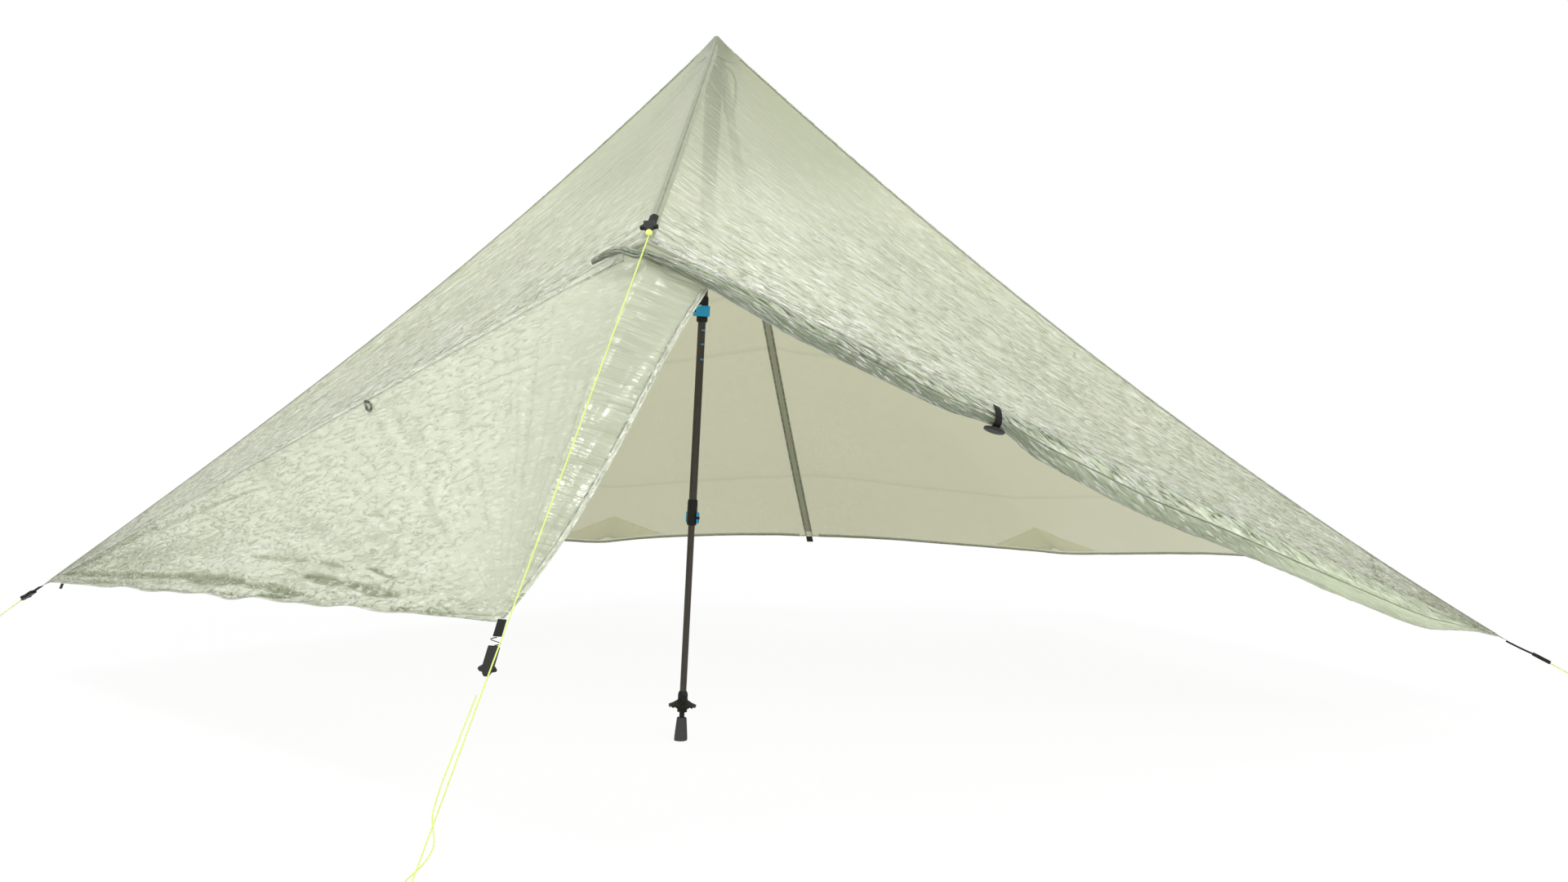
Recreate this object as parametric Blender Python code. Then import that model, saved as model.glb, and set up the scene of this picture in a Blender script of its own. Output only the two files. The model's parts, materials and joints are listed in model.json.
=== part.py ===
"""A one-person pyramid tarp with a front beak and two storm doors, pitched on a trekking pole.

The origin is the pole's foot on the ground, +X runs to the right corner, +Y to the rear, +Z up.
The left door is closed and hooked to its line, and the right door is rolled up under its hem.
"""

import math

import bmesh
import bpy
import numpy as np
from mathutils import Matrix, Vector

# The pitch: where the sewn corners stand, in metres from the pole's foot
PEAK_HEIGHT = 1.250
POLE_LEAN_RIGHT = 0.0526
POLE_LEAN_BACK = 0.090
BEAK_REACH = 0.610
BEAK_HEIGHT = 0.906
LEFT_REACH = 1.421
LEFT_CORNER_HEIGHT = 0.188
RIGHT_REACH = 1.421
RIGHT_CORNER_HEIGHT = 0.161
SIDE_CORNER_SETBACK = 0.236
REAR_REACH = 1.150
REAR_HEIGHT = 0.187
REAR_LEFT_SPREAD = 0.498
REAR_RIGHT_SPREAD = 0.568
REAR_CORNER_SETBACK = 1.240
REAR_CORNER_HEIGHT = 0.147
DOOR_CORNER_LEFT = 0.1214
DOOR_CORNER_FORWARD = 0.740
DOOR_CORNER_HEIGHT = 0.3455

# How far each edge hangs below, or each panel dips behind, its straight line
LEFT_RIDGE_SAG = 0.041
LEFT_RIDGE_SKEW = -0.35
RIGHT_RIDGE_SAG = 0.056
FRONT_RIDGE_SAG = 0.004
REAR_RIDGE_SAG = 0.030
LEFT_DOOR_LINE_RISE = 0.004
RIGHT_DOOR_LINE_SAG = 0.008
SIDE_HEM_RISE = 0.070
SIDE_HEM_SKEW = 0.55
REAR_HEM_RISE = 0.006
FRONT_PANEL_DIP = 0.022
REAR_PANEL_DIP = 0.030
DOOR_DIP = 0.014
DOOR_HEM_RISE = 0.002
DOOR_EDGE_BOW = 0.017
DOOR_EDGE_SKEW = 1.20
DOOR_PRESS = 0.0165
DOOR_PRESS_DEPTH = 0.035
DOOR_PRESS_REACH = 0.120

# Fabric, seam tape and hems
FABRIC = 0.0006
TAPE = 0.0005
GAP = 0.0003
SEAM_HALF_WIDTH = 0.006
FRONT_TAPE_END = 0.983
HEM_BAND = 0.011
PATCH_GAP = 0.0007
PATCH_SIDE = 0.200
REAR_PATCH_SIDE = 0.130
PANEL_START = 0.014
CAP_LENGTH = 0.055
CAP_FABRIC = 0.0010
CAP_CLEARANCE = 0.0004

# The doors along the beak's hem, as shares of the hem from the beak to a side corner
DOOR_START_SHARE = 0.985
HEM_START_SHARE = 0.02
HEM_END_SHARE = 0.985
DOOR_OVERLAP = 0.124
DOOR_CORNER_CUT = 0.018
ROLL_WIDTH = 0.034
ROLL_LEFT_OVERLAP = 0.114
ROLL_END_WIDTH = 0.011
ROLL_MIDDLE_WIDTH = 0.0155
ROLL_HANG = 0.42
ROLL_LEFT_RISE = 0.90
ROLL_LEFT_REACH = 0.060
ROLL_DIP = 0.014
ROLL_DIP_REACH = 0.060
ROLL_LEAN = 0.04
ROLL_TOP = -0.0013
ROLL_TURN = 0.090
ROLL_TAPER = 0.700
ROLL_SIDES = 12
ROLL_END_SHARE = 0.955
TOGGLE_SHARE = 0.361

# How deep the rolled door hangs below its seam: (distance from the beak, depth)
ROLL_DEPTHS = (
    (0.00, 0.028),
    (0.10, 0.030),
    (0.26, 0.042),
    (0.56, 0.045),
    (0.63, 0.034),
    (0.68, 0.034),
    (0.73, 0.054),
    (0.98, 0.069),
    (1.12, 0.059),
    (1.56, 0.050),
    (1.66, 0.037),
    (1.74, 0.020),
)
LEFT_LOOP_SHARE = 0.400

# Webbing, tensioners and cord
WEBBING = 0.0012
WEBBING_WIDTH = 0.014
LOCK_LENGTH = 0.034
DOOR_LOCK_LENGTH = 0.050
FRONT_LOCK_LENGTH = 0.027
LOCK_WIDTH = 0.021
LOCK_EAR_WIDTH = 0.030
LOCK_HEAD = 0.017
LOCK_THICKNESS = 0.0065
LEFT_STRAP = 0.022
RIGHT_STRAP = 0.055
DOOR_STRAP = 0.0295
DOOR_STRAP_BACK = 0.0052
DOOR_HOOK_LENGTH = 0.014
DOOR_HOOK_WIRE = 0.0016
TIEOUT_TAB_TOP = 0.078
TIEOUT_TAB_END = 0.0400
REAR_TAB = 0.020
CORD = 0.0022
LOOP_RADIUS = 0.009
LOOP_STRETCH = 1.3
KNOT_RADIUS = 0.0045
FRONT_KNOT = 0.0055
LINE_SAG = 0.003
CORNER_GAP = -0.0002
FRONT_LOCK_LIFT = 0.0085
DOOR_CHAIN_SWING = 0.06
FRONT_LOCK_SWING = 0.17
SIDE_TAB = 0.011
SIDE_TAB_PLACE = 0.070
DOOR_HOOK_WIDTH = 0.018
TOGGLE_STEM = 0.0035
TOGGLE_STEM_LENGTH = 0.004
TOGGLE_STRAP_CLEARANCE = 0.0006
STAKE_OUT = 0.300
STAKE_BACK = 0.075
FRONT_STAKE_LEFT = 0.1373
FRONT_STAKE_FORWARD = 1.2767
DOOR_STAKE_LEFT = 0.1916
DOOR_STAKE_FORWARD = 1.0453
TOGGLE_RADIUS = 0.018
TOGGLE_THICKNESS = 0.003
TOGGLE_STRAP_WIDTH = 0.013
ELASTIC = 0.0022
ELASTIC_LENGTH = 0.030
ELASTIC_WIDTH = 0.014

# The trekking pole, measured up its axis from the foot
UPPER_TUBE = 0.0160
MIDDLE_TUBE = 0.0140
LOWER_TUBE = 0.0120
TUBE_WALL = 0.0006
SLIDING_CLEARANCE = 0.0003
FOOT_TOP = 0.041
FOOT_TOP_WIDTH = 0.0178
FOOT_BASE_WIDTH = 0.0236
FOOT_TRIM = 0.004
TIP_WIDTH = 0.0096
TIP_BOTTOM = 0.008
TIP_NECK_TOP = 0.056
TIP_TOP = 0.088
TIP_SOCKET = 0.014
TIP_COLLAR = 0.0180
TIP_STEP = 0.0006
TIP_LIP = 0.0009
BASKET_CROWN = 0.0175
BASKET_BOTTOM = 0.0510
BASKET_NUT_TOP = 0.0595
BASKET_TOP = 0.0740
BASKET_WIDTH = 0.050
BASKET_NUT_WIDTH = 0.0178
BASKET_TEETH = 16
BASKET_TOOTH = 0.0026
LOWER_LOCK = 0.386
LOCK_COLLAR = 0.046
LOCK_COLLAR_WALL = 0.0020
LEVER_HEIGHT = 0.0190
LEVER_WALL = 0.0028
LOWER_LEVER_RISE = 0.0140
UPPER_LEVER_RISE = 0.0200
LEVER_PIN = 0.0032
LEVER_STANDOFF = 0.0034
LEVER_GAP = 0.0004
LEVER_KNUCKLE_WALL = 0.0014
LEVER_START = 18
LOWER_LEVER_FACING = -25
UPPER_LEVER_FACING = 190
LEVER_LIP = 0.0022
LOWER_LEVER_REACH = 174
UPPER_LEVER_REACH = 150
LUG_HEIGHT = 0.005
COLLAR_LIP = 0.011
TUBE_OVERLAP = 0.110
GRIP_LENGTH = 0.131
EXTENSION_GRIP_LENGTH = 0.195
EXTENSION_GRIP_WIDTH = 0.0290
BARE_UPPER_TUBE = 0.1423
GRIP_TOP_CLEARANCE = 0.0120
GRIP_CAP_HEIGHT = 0.026
GRIP_WIDTH = 0.0310
GRIP_NECK_WIDTH = 0.0270
GRIP_HEAD = 0.0310
STRAP_WIDTH = 0.018
STRAP_THICKNESS = 0.0016
STRAP_REACH = 0.025
STRAP_DROP = 0.095
STRAP_TOP = 0.014
STRAP_SEAT = 0.0004

UP = np.array((0.0, 0.0, 1.0))
RIGHT = np.array((1.0, 0.0, 0.0))
PEAK = np.array((POLE_LEAN_RIGHT, POLE_LEAN_BACK, PEAK_HEIGHT))
INSIDE = np.array((POLE_LEAN_RIGHT, POLE_LEAN_BACK + 0.2, PEAK_HEIGHT * 0.3))


def from_peak(right, back, height):
    """A point given by its plan distance from the peak and its height over the ground."""
    return np.array((POLE_LEAN_RIGHT + right, POLE_LEAN_BACK + back, height))


BEAK = from_peak(0.0, -BEAK_REACH, BEAK_HEIGHT)
LEFT = from_peak(-LEFT_REACH, SIDE_CORNER_SETBACK, LEFT_CORNER_HEIGHT)
RIGHT_CORNER = from_peak(RIGHT_REACH, SIDE_CORNER_SETBACK, RIGHT_CORNER_HEIGHT)
REAR = from_peak(0.0, REAR_REACH, REAR_HEIGHT)
REAR_LEFT = from_peak(-REAR_LEFT_SPREAD, REAR_CORNER_SETBACK, REAR_CORNER_HEIGHT)
REAR_RIGHT = from_peak(REAR_RIGHT_SPREAD, REAR_CORNER_SETBACK, REAR_CORNER_HEIGHT)
DOOR_CORNER = np.array((-DOOR_CORNER_LEFT, -DOOR_CORNER_FORWARD, DOOR_CORNER_HEIGHT))
FRONT_STAKE = np.array((-FRONT_STAKE_LEFT, -FRONT_STAKE_FORWARD, 0.0))
DOOR_STAKE = np.array((-DOOR_STAKE_LEFT, -DOOR_STAKE_FORWARD, 0.0))
LEFT_STAKE = LEFT * (1.0, 1.0, 0.0) + (-STAKE_OUT, STAKE_BACK, 0.0)
RIGHT_STAKE = RIGHT_CORNER * (1.0, 1.0, 0.0) + (STAKE_OUT, STAKE_BACK, 0.0)
GRIP_TOP = float(np.linalg.norm(PEAK)) - GRIP_TOP_CLEARANCE
EXTENSION_GRIP_TOP = GRIP_TOP - GRIP_CAP_HEIGHT - GRIP_LENGTH
EXTENSION_GRIP_BOTTOM = EXTENSION_GRIP_TOP - EXTENSION_GRIP_LENGTH
UPPER_LOCK = EXTENSION_GRIP_BOTTOM - BARE_UPPER_TUBE

# The door's line is tight near its tensioner, and hangs slack in a bend nearer the ground
DOOR_LINE_ROUTE = [
    np.array(point)
    for point in (
        (-0.1390, -0.8269, 0.2461),
        (-0.1459, -0.8529, 0.2168),
        (-0.1524, -0.8783, 0.1882),
        (-0.1579, -0.8989, 0.1650),
        (-0.1626, -0.9176, 0.1439),
        (-0.1648, -0.9315, 0.1283),
        (-0.1666, -0.9452, 0.1128),
        (-0.1655, -0.9554, 0.1013),
        (-0.1605, -0.9673, 0.0879),
        (-0.1565, -0.9783, 0.0756),
        (-0.1575, -0.9884, 0.0642),
        (-0.1643, -0.9992, 0.0520),
        (-0.1756, -1.0096, 0.0403),
        (-0.1864, -1.0191, 0.0296),
        (-0.1901, -1.0306, 0.0166),
    )
]


# Vector helpers
def unit(vector):
    """A vector made one metre long."""
    return vector / np.linalg.norm(vector)


def mix(a, b, share):
    """A value part of the way from one to another."""
    return a + (b - a) * share


def eased(share):
    """A share held between 0 and 1, easing in and out."""
    share = min(max(share, 0.0), 1.0)
    return share * share * (3.0 - 2.0 * share)


def bowed(start, end, drop, skew=0.0):
    """An edge from start to end that hangs below its chord, by drop near the middle."""

    def point(share):
        hang = 4.0 * share * (1.0 - share) * (1.0 + skew * (2.0 * share - 1.0))
        return mix(start, end, share) - UP * drop * hang

    return point


def joined(first, second):
    """Two edges end to end, and the share at which they meet, by length."""
    length_a = np.linalg.norm(first(1.0) - first(0.0))
    length_b = np.linalg.norm(second(1.0) - second(0.0))
    bend = length_a / (length_a + length_b)

    def point(share):
        if share <= bend:
            return first(share / bend)
        return second((share - bend) / (1.0 - bend))

    return point, bend


def smooth_route(points, count):
    """Points evenly spread along the smooth curve through the given ones."""
    points = [np.asarray(point, float) for point in points]
    ends = [2 * points[0] - points[1]] + points + [2 * points[-1] - points[-2]]
    dense = []
    for a, b, c, d in zip(ends, ends[1:], ends[2:], ends[3:]):
        square = 2 * a - 5 * b + 4 * c - d
        cube = 3 * b - a - 3 * c + d
        for t in np.linspace(0.0, 1.0, 24, endpoint=False):
            dense.append(0.5 * (2 * b + (c - a) * t + square * t**2 + cube * t**3))
    dense.append(points[-1])
    dense = np.array(dense)
    steps = np.linalg.norm(np.diff(dense, axis=0), axis=1)
    walked = np.concatenate([[0.0], np.cumsum(steps)])
    wanted = np.linspace(0.0, walked[-1], count)
    return np.stack([np.interp(wanted, walked, dense[:, axis]) for axis in range(3)], axis=1)


# Materials
def material(name, colour, roughness, metallic=0.0):
    """A plain finish of one colour."""
    made = bpy.data.materials.new(name)
    made.use_nodes = True
    shader = made.node_tree.nodes["Principled BSDF"]
    shader.inputs["Base Color"].default_value = (*colour, 1.0)
    shader.inputs["Roughness"].default_value = roughness
    shader.inputs["Metallic"].default_value = metallic
    made.diffuse_color = (*colour, 1.0)
    return made


# Object builders
def new_object(name, mesh, finish, origin=(0.0, 0.0, 0.0), smooth=True):
    """An object whose mesh was made in world space, with its origin moved to the given point."""
    mesh.transform(Matrix.Translation(-Vector(origin)))
    made = bpy.data.objects.new(name, mesh)
    made.location = origin
    bpy.context.scene.collection.objects.link(made)
    mesh.materials.append(finish)
    if smooth:
        mesh.shade_smooth()
        mesh.set_sharp_from_angle(angle=math.radians(35))
    return made


def mesh_of(name, points, faces):
    """A mesh from points and faces."""
    mesh = bpy.data.meshes.new(name)
    mesh.from_pydata([tuple(point) for point in points], [], faces)
    mesh.validate()
    return mesh


def grid_faces(rows, columns, closed=False):
    """The four-sided faces of a grid, closed round its columns or not."""
    faces = []
    for i in range(rows - 1):
        for j in range(columns if closed else columns - 1):
            k = (j + 1) % columns
            faces.append((i * columns + j, i * columns + k, (i + 1) * columns + k, (i + 1) * columns + j))
    return faces


def sheet(name, rows, thickness, finish, outward=None, origin=(0.0, 0.0, 0.0), offset=1.0):
    """A sheet through rows of points, thickened to the side that faces away from the tent's inside."""
    rows = [list(row) for row in rows]
    middle = len(rows) // 2
    centre = len(rows[0]) // 2
    one = np.asarray(rows[middle][centre]) - np.asarray(rows[middle - 1][centre])
    other = np.asarray(rows[middle][centre]) - np.asarray(rows[middle][centre - 1])
    if outward is None:
        outward = np.asarray(rows[middle][centre]) - INSIDE
    points = [point for row in rows for point in row]
    faces = grid_faces(len(rows), len(rows[0]))
    if np.dot(np.cross(other, one), outward) < 0.0:
        faces = [face[::-1] for face in faces]
    made = new_object(name, mesh_of(name, points, faces), finish, origin)
    thicken(made, thickness, offset)
    return made


def thicken(made, thickness, offset=1.0):
    """Gives a sheet its fabric thickness."""
    wall = made.modifiers.new("fabric thickness", "SOLIDIFY")
    wall.thickness = thickness
    wall.offset = offset
    wall.use_even_offset = True


def loft(name, rings, finish, origin=(0.0, 0.0, 0.0), smooth=True):
    """A closed body through rings of points, capped at both ends."""
    count = len(rings[0])
    points = [point for ring in rings for point in ring]
    faces = grid_faces(len(rings), count, closed=True)
    faces.append(tuple(range(count))[::-1])
    faces.append(tuple(range((len(rings) - 1) * count, len(rings) * count)))
    mesh = mesh_of(name, points, faces)
    shape = bmesh.new()
    shape.from_mesh(mesh)
    bmesh.ops.recalc_face_normals(shape, faces=shape.faces)
    if shape.calc_volume(signed=True) < 0.0:
        bmesh.ops.reverse_faces(shape, faces=shape.faces)
    shape.to_mesh(mesh)
    shape.free()
    return new_object(name, mesh, finish, origin, smooth)


def prism(name, outline, thickness, frame, finish, origin=(0.0, 0.0, 0.0), bevel=0.0):
    """A flat outline, extruded evenly to both sides of the frame's XY plane."""
    corners = [frame @ Vector((x, y, -thickness / 2)) for x, y in outline]
    tops = [frame @ Vector((x, y, thickness / 2)) for x, y in outline]
    made = loft(name, [corners, tops], finish, origin, smooth=False)
    if bevel:
        edge = made.modifiers.new("edge", "BEVEL")
        edge.width = bevel
        edge.segments = 1
        edge.limit_method = "ANGLE"
        edge.angle_limit = math.radians(50)
    return made


def turned(name, profile, finish, parent, steps=20, height=0.0):
    """A shape turned round its parent's Z axis. The profile runs down its outer side."""
    mesh = bpy.data.meshes.new(name)
    points = [(radius, 0.0, level - height) for radius, level in profile]
    edges = [(i, i + 1) for i in range(len(points) - 1)]
    if profile[0][0] > 0.0 and profile[-1][0] > 0.0:
        edges.append((len(points) - 1, 0))
    mesh.from_pydata(points, edges, [])
    made = bpy.data.objects.new(name, mesh)
    bpy.context.scene.collection.objects.link(made)
    mesh.materials.append(finish)
    made.parent = parent
    made.location = (0.0, 0.0, height)
    screw = made.modifiers.new("turn", "SCREW")
    screw.axis = "Z"
    screw.steps = steps
    screw.render_steps = steps
    screw.use_merge_vertices = True
    screw.merge_threshold = 0.00001
    screw.use_smooth_shade = True
    return made


def tube_profile(outer, inner, bottom, top):
    """The outline of a tube's wall."""
    return [(outer, top), (outer, bottom), (inner, bottom), (inner, top)]


def cord(name, route, finish, width=CORD, closed=False):
    """A round cord along a route, as a bevelled curve with filled ends."""
    curve = bpy.data.curves.new(name, "CURVE")
    curve.dimensions = "3D"
    curve.bevel_depth = width / 2
    curve.bevel_resolution = 2
    curve.use_fill_caps = True
    spline = curve.splines.new("POLY")
    spline.points.add(len(route) - 1)
    for point, place in zip(spline.points, route):
        point.co = (*place, 1.0)
    spline.use_cyclic_u = closed
    made = bpy.data.objects.new(name, curve)
    bpy.context.scene.collection.objects.link(made)
    curve.materials.append(finish)
    return made


def cut(target, cutter, operation="DIFFERENCE"):
    """Cuts a hidden helper out of a body, or joins it on."""
    cutter.hide_render = True
    cutter.display_type = "WIRE"
    boolean = target.modifiers.new("cut", "BOOLEAN")
    boolean.operation = operation
    boolean.object = cutter


def frame_along(place, along, facing):
    """A frame at place with its Y axis along a direction and its Z axis towards the facing."""
    y = Vector(unit(np.asarray(along, float)))
    z = Vector(facing)
    z = (z - y * z.dot(y)).normalized()
    x = y.cross(z)
    turn = Matrix((x, y, z)).transposed().to_4x4()
    return Matrix.Translation(Vector(place)) @ turn


# The canopy's panels
class Panel:
    """A fabric panel between two edges that leave the peak together, down to its hem."""

    def __init__(self, near, far, hem, dip, columns, bend=None):
        self.near = near
        self.far = far
        self.hem = hem
        self.dip = dip
        self.columns = columns
        self.bend = bend
        middle = hem(0.5)
        self.out = unit(np.cross(near(1.0) - PEAK, far(1.0) - PEAK))
        if np.dot(self.out, mix(PEAK, middle, 0.5) - INSIDE) < 0.0:
            self.out = -self.out

    def at(self, across, down):
        """The cloth's place, from 0 to 1 across and from the peak down to the hem."""
        chord = mix(self.near(1.0), self.far(1.0), across)
        point = mix(self.near(down), self.far(down), across) + (self.hem(across) - chord) * down
        hollow = 16.0 * across * (1.0 - across) * down * (1.0 - down)
        return point - self.out * self.dip * hollow

    def normal(self, across, down):
        """The outward direction square to the cloth."""
        step = 0.004
        side = self.at(min(across + step, 1.0), down) - self.at(max(across - step, 0.0), down)
        fall = self.at(across, min(down + step, 1.0)) - self.at(across, max(down - step, 0.0))
        normal = unit(np.cross(side, fall))
        return normal if np.dot(normal, self.out) > 0.0 else -normal

    def lifted(self, across, down, lift):
        """A point that stands off the cloth."""
        return self.at(across, down) + self.normal(across, down) * lift

    def margins(self, down):
        """Shares across at which the panel's cut edge and the seam tape's edge lie."""
        width = np.linalg.norm(self.far(down) - self.near(down))
        return GAP / width, min(SEAM_HALF_WIDTH / width, 0.3)

    def across_shares(self, down):
        """The columns of the panel's grid, with one along each tape edge and one at the hem's bend."""
        cut_edge, tape_edge = self.margins(down)
        if self.bend is None:
            inner = list(np.linspace(tape_edge, 1.0 - tape_edge, self.columns))
        else:
            first = round(self.columns * self.bend)
            inner = list(np.linspace(tape_edge, self.bend, first + 1))
            inner += list(np.linspace(self.bend, 1.0 - tape_edge, self.columns - first))[1:]
        return [cut_edge] + inner + [1.0 - cut_edge]

    def above_hem(self, across, distance):
        """The share down at a distance above the hem."""
        return 1.0 - distance / np.linalg.norm(self.hem(across) - PEAK)

    def rows(self):
        """The panel's grid of points."""
        rows = [[self.at(across, down) for across in self.across_shares(down)] for down in DOWN_SHARES]
        for distance in (HEM_BAND, GAP):
            shares = self.across_shares(1.0)
            rows.append([self.at(across, self.above_hem(across, distance)) for across in shares])
        return rows

    def seam_side(self, side, down):
        """Two points that the seam tape rests on, at its edge and at the cut edge."""
        cut_edge, tape_edge = self.margins(down)
        lift = FABRIC + GAP
        if side == "near":
            return [self.lifted(tape_edge, down, lift), self.lifted(cut_edge, down, lift)]
        return [self.lifted(1.0 - tape_edge, down, lift), self.lifted(1.0 - cut_edge, down, lift)]


DOWN_SHARES = (PANEL_START, 0.04, 0.09, 0.16, 0.25, 0.35, 0.45, 0.55, 0.65, 0.74, 0.82, 0.89, 0.95)


def corner_patch(name, panel, across, side, finish, both_sides=False):
    """A triangle of doubled fabric inside a panel's corner, at one end of its hem or at its bend."""
    tall = side / np.linalg.norm(panel.hem(across) - PEAK)
    wide = side / np.linalg.norm(panel.hem(1.0) - panel.hem(0.0))
    direction = 1.0 if across < 0.5 else -1.0
    rows = []
    for reach in (0.12, 0.4, 0.7, 1.0):
        shares = np.linspace(-1.0, 1.0, 7) if both_sides else np.linspace(0.02, 1.0, 5)
        row = []
        for share in shares:
            sideways = across + direction * share * wide * reach
            down = 1.0 - tall * reach * (1.0 - abs(share)) - 0.012
            row.append(panel.lifted(sideways, down, -PATCH_GAP))
        rows.append(row)
    inward = -panel.out
    return sheet(name, rows, TAPE, finish, outward=inward)


# The doors
class Door:
    """The closed left door: a fan of fabric from the beak's hem down to its hooked corner."""

    def __init__(self, left_line, right_line):
        self.overlap = DOOR_OVERLAP / np.linalg.norm(right_line(1.0) - right_line(0.0))
        self.left_line = left_line
        self.right_line = right_line
        self.out = unit(np.cross(left_line(1.0) - BEAK, DOOR_CORNER - BEAK))
        if np.dot(self.out, DOOR_CORNER - INSIDE) < 0.0:
            self.out = -self.out

    def top(self, share):
        """Along the seam: 1 at the left end, 0 at the beak, and -1 at the hidden right end."""
        if share >= 0.0:
            return self.left_line(share * DOOR_START_SHARE)
        return self.right_line(-share * self.overlap)

    def at(self, share, down):
        """The cloth's place, by its share along the seam and its share down to the hooked corner."""
        point = mix(self.top(share), DOOR_CORNER, down)
        hang = 4.0 * down * (1.0 - down)
        hem_pull = UP * DOOR_HEM_RISE * max(share, 0.0) ** 2
        edge_pull = RIGHT * DOOR_EDGE_BOW * max(-share, 0.0) * (1.0 + DOOR_EDGE_SKEW * (2.0 * down - 1.0))
        hollow = self.out * DOOR_DIP * 4.0 * max(share, 0.0) * (1.0 - max(share, 0.0))
        return point + (hem_pull + edge_pull - hollow) * hang - self.out * self.pressed_in(share, down)

    def pressed_in(self, share, down):
        """How far the roll that hangs in front of the door pushes it back, near the beak."""
        aside = np.linalg.norm(self.top(share) - BEAK) / DOOR_PRESS_REACH
        depth = down * np.linalg.norm(self.top(share) - DOOR_CORNER) / DOOR_PRESS_DEPTH
        return DOOR_PRESS * math.exp(-(aside**2)) * depth * math.exp(1.0 - depth)

    def lifted(self, share, down, lift):
        """A point that stands off the cloth."""
        step = 0.01
        low = max(share - step, -1.0) if share <= 0.0 else max(share - step, 0.0)
        high = min(share + step, 1.0) if share >= 0.0 else min(share + step, 0.0)
        side = self.at(high, down) - self.at(low, down)
        fall = self.at(share, down + step) - self.at(share, down)
        normal = unit(np.cross(side, fall))
        if np.dot(normal, self.out) < 0.0:
            normal = -normal
        return self.at(share, down) + normal * lift

    def below_seam(self, share, distance):
        """The share down at a distance below the seam."""
        return distance / np.linalg.norm(self.top(share) - DOOR_CORNER)

    def end_share(self):
        """The share down at which the corner is cut for its webbing."""
        width = np.linalg.norm(self.top(1.0) - self.top(-1.0))
        return 1.0 - DOOR_CORNER_CUT / width


# Each hem of the door: its name, its edge's share, and a share inside it that the band runs towards
DOOR_BANDS = (("left_door_bottom_hem", 1.0, 0.985), ("left_door_edge_hem", -1.0, -0.9))
DOOR_LEFT_SHARES = (1.0, 0.97, 0.9, 0.8, 0.7, 0.6, 0.5, 0.4, 0.3, 0.2, 0.1, 0.02, 0.0)
DOOR_RIGHT_SHARES = (-0.25, -0.5, -0.75, -0.93, -1.0)
DOOR_DOWN_SHARES = (0.08, 0.17, 0.28, 0.4, 0.52, 0.64, 0.75, 0.85, 0.93)


def outward_of(tangent, like):
    """The level direction square to a tangent, on the same side as another."""
    side = np.cross(tangent, UP)
    side = unit(side * (1.0, 1.0, 0.0))
    return side if np.dot(side, like) > 0.0 else -side


def roll_centre(left_line, right_line, station):
    """Centre, width and height of the rolled right door, at a distance along its seam from the beak."""
    left_length = np.linalg.norm(left_line(1.0) - left_line(0.0))
    right_length = np.linalg.norm(right_line(1.0) - right_line(0.0))
    left_side = outward_of(left_line(1.0) - left_line(0.0), -RIGHT)
    right_side = outward_of(right_line(1.0) - right_line(0.0), RIGHT)
    turn = eased((station + ROLL_TURN) / (2.0 * ROLL_TURN))
    side = unit(mix(left_side, right_side, turn))
    dip = ROLL_DIP * math.exp(-((station / ROLL_DIP_REACH) ** 2))
    if station < 0.0:
        seam = left_line(-station / left_length)
        wall = left_side
        width = mix(ROLL_END_WIDTH, ROLL_MIDDLE_WIDTH, 1.0 + station / ROLL_LEFT_OVERLAP)
        height = width
        drop = width * mix(ROLL_HANG, -ROLL_LEFT_RISE, eased(-station / ROLL_LEFT_REACH)) + dip
    else:
        seam = right_line(station / right_length)
        wall = right_side
        taper = min(1.0, (ROLL_END_SHARE * right_length - station) / ROLL_TAPER)
        width = mix(ROLL_MIDDLE_WIDTH, ROLL_WIDTH, eased(station / DOOR_OVERLAP))
        width = mix(ROLL_END_WIDTH, width, taper)
        distances, depths = zip(*ROLL_DEPTHS)
        height = np.interp(station, distances, depths) - ROLL_TOP - dip
        drop = ROLL_TOP + dip + height / 2
    stand_off = FABRIC + GAP + TAPE + GAP
    before_door = width / 2 + stand_off + drop * ROLL_LEAN
    level = min(abs(2.0 * drop / height), 1.0)
    under_seam = width / 2 * math.sqrt(1.0 - level**2) + stand_off
    past_door = min(max(station / DOOR_OVERLAP - 1.3, 0.0), 1.0)
    out = mix(before_door, under_seam, past_door) / np.dot(side, wall)
    return seam + side * out - UP * drop, width, height


def roll_frame(left_line, right_line, station):
    """The roll's centre, sideways direction and tangent at a station, with its width and height."""
    step = 0.01
    centre, width, height = roll_centre(left_line, right_line, station)
    after = roll_centre(left_line, right_line, station + step)[0]
    before = roll_centre(left_line, right_line, station - step)[0]
    tangent = unit(after - before)
    return centre, unit(np.cross(tangent, UP)), tangent, width, height


def roll_rings(left_line, right_line):
    """Upright rings of the rolled right door, from its left end to the corner."""
    right_length = np.linalg.norm(right_line(1.0) - right_line(0.0))
    stations = list(np.linspace(-ROLL_LEFT_OVERLAP, 0.0, 7)[:-1])
    stations += list(np.linspace(0.0, ROLL_END_SHARE * right_length, 34))
    stations += [distance for distance, _ in ROLL_DEPTHS[3:7]]
    rings = []
    for station in sorted(stations):
        centre, side, _, width, height = roll_frame(left_line, right_line, station)
        ring = []
        for step in range(ROLL_SIDES):
            angle = 2.0 * math.pi * step / ROLL_SIDES
            ring.append(centre + side * (math.cos(angle) * width / 2) + UP * (math.sin(angle) * height / 2))
        rings.append(ring)
    return rings


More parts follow.
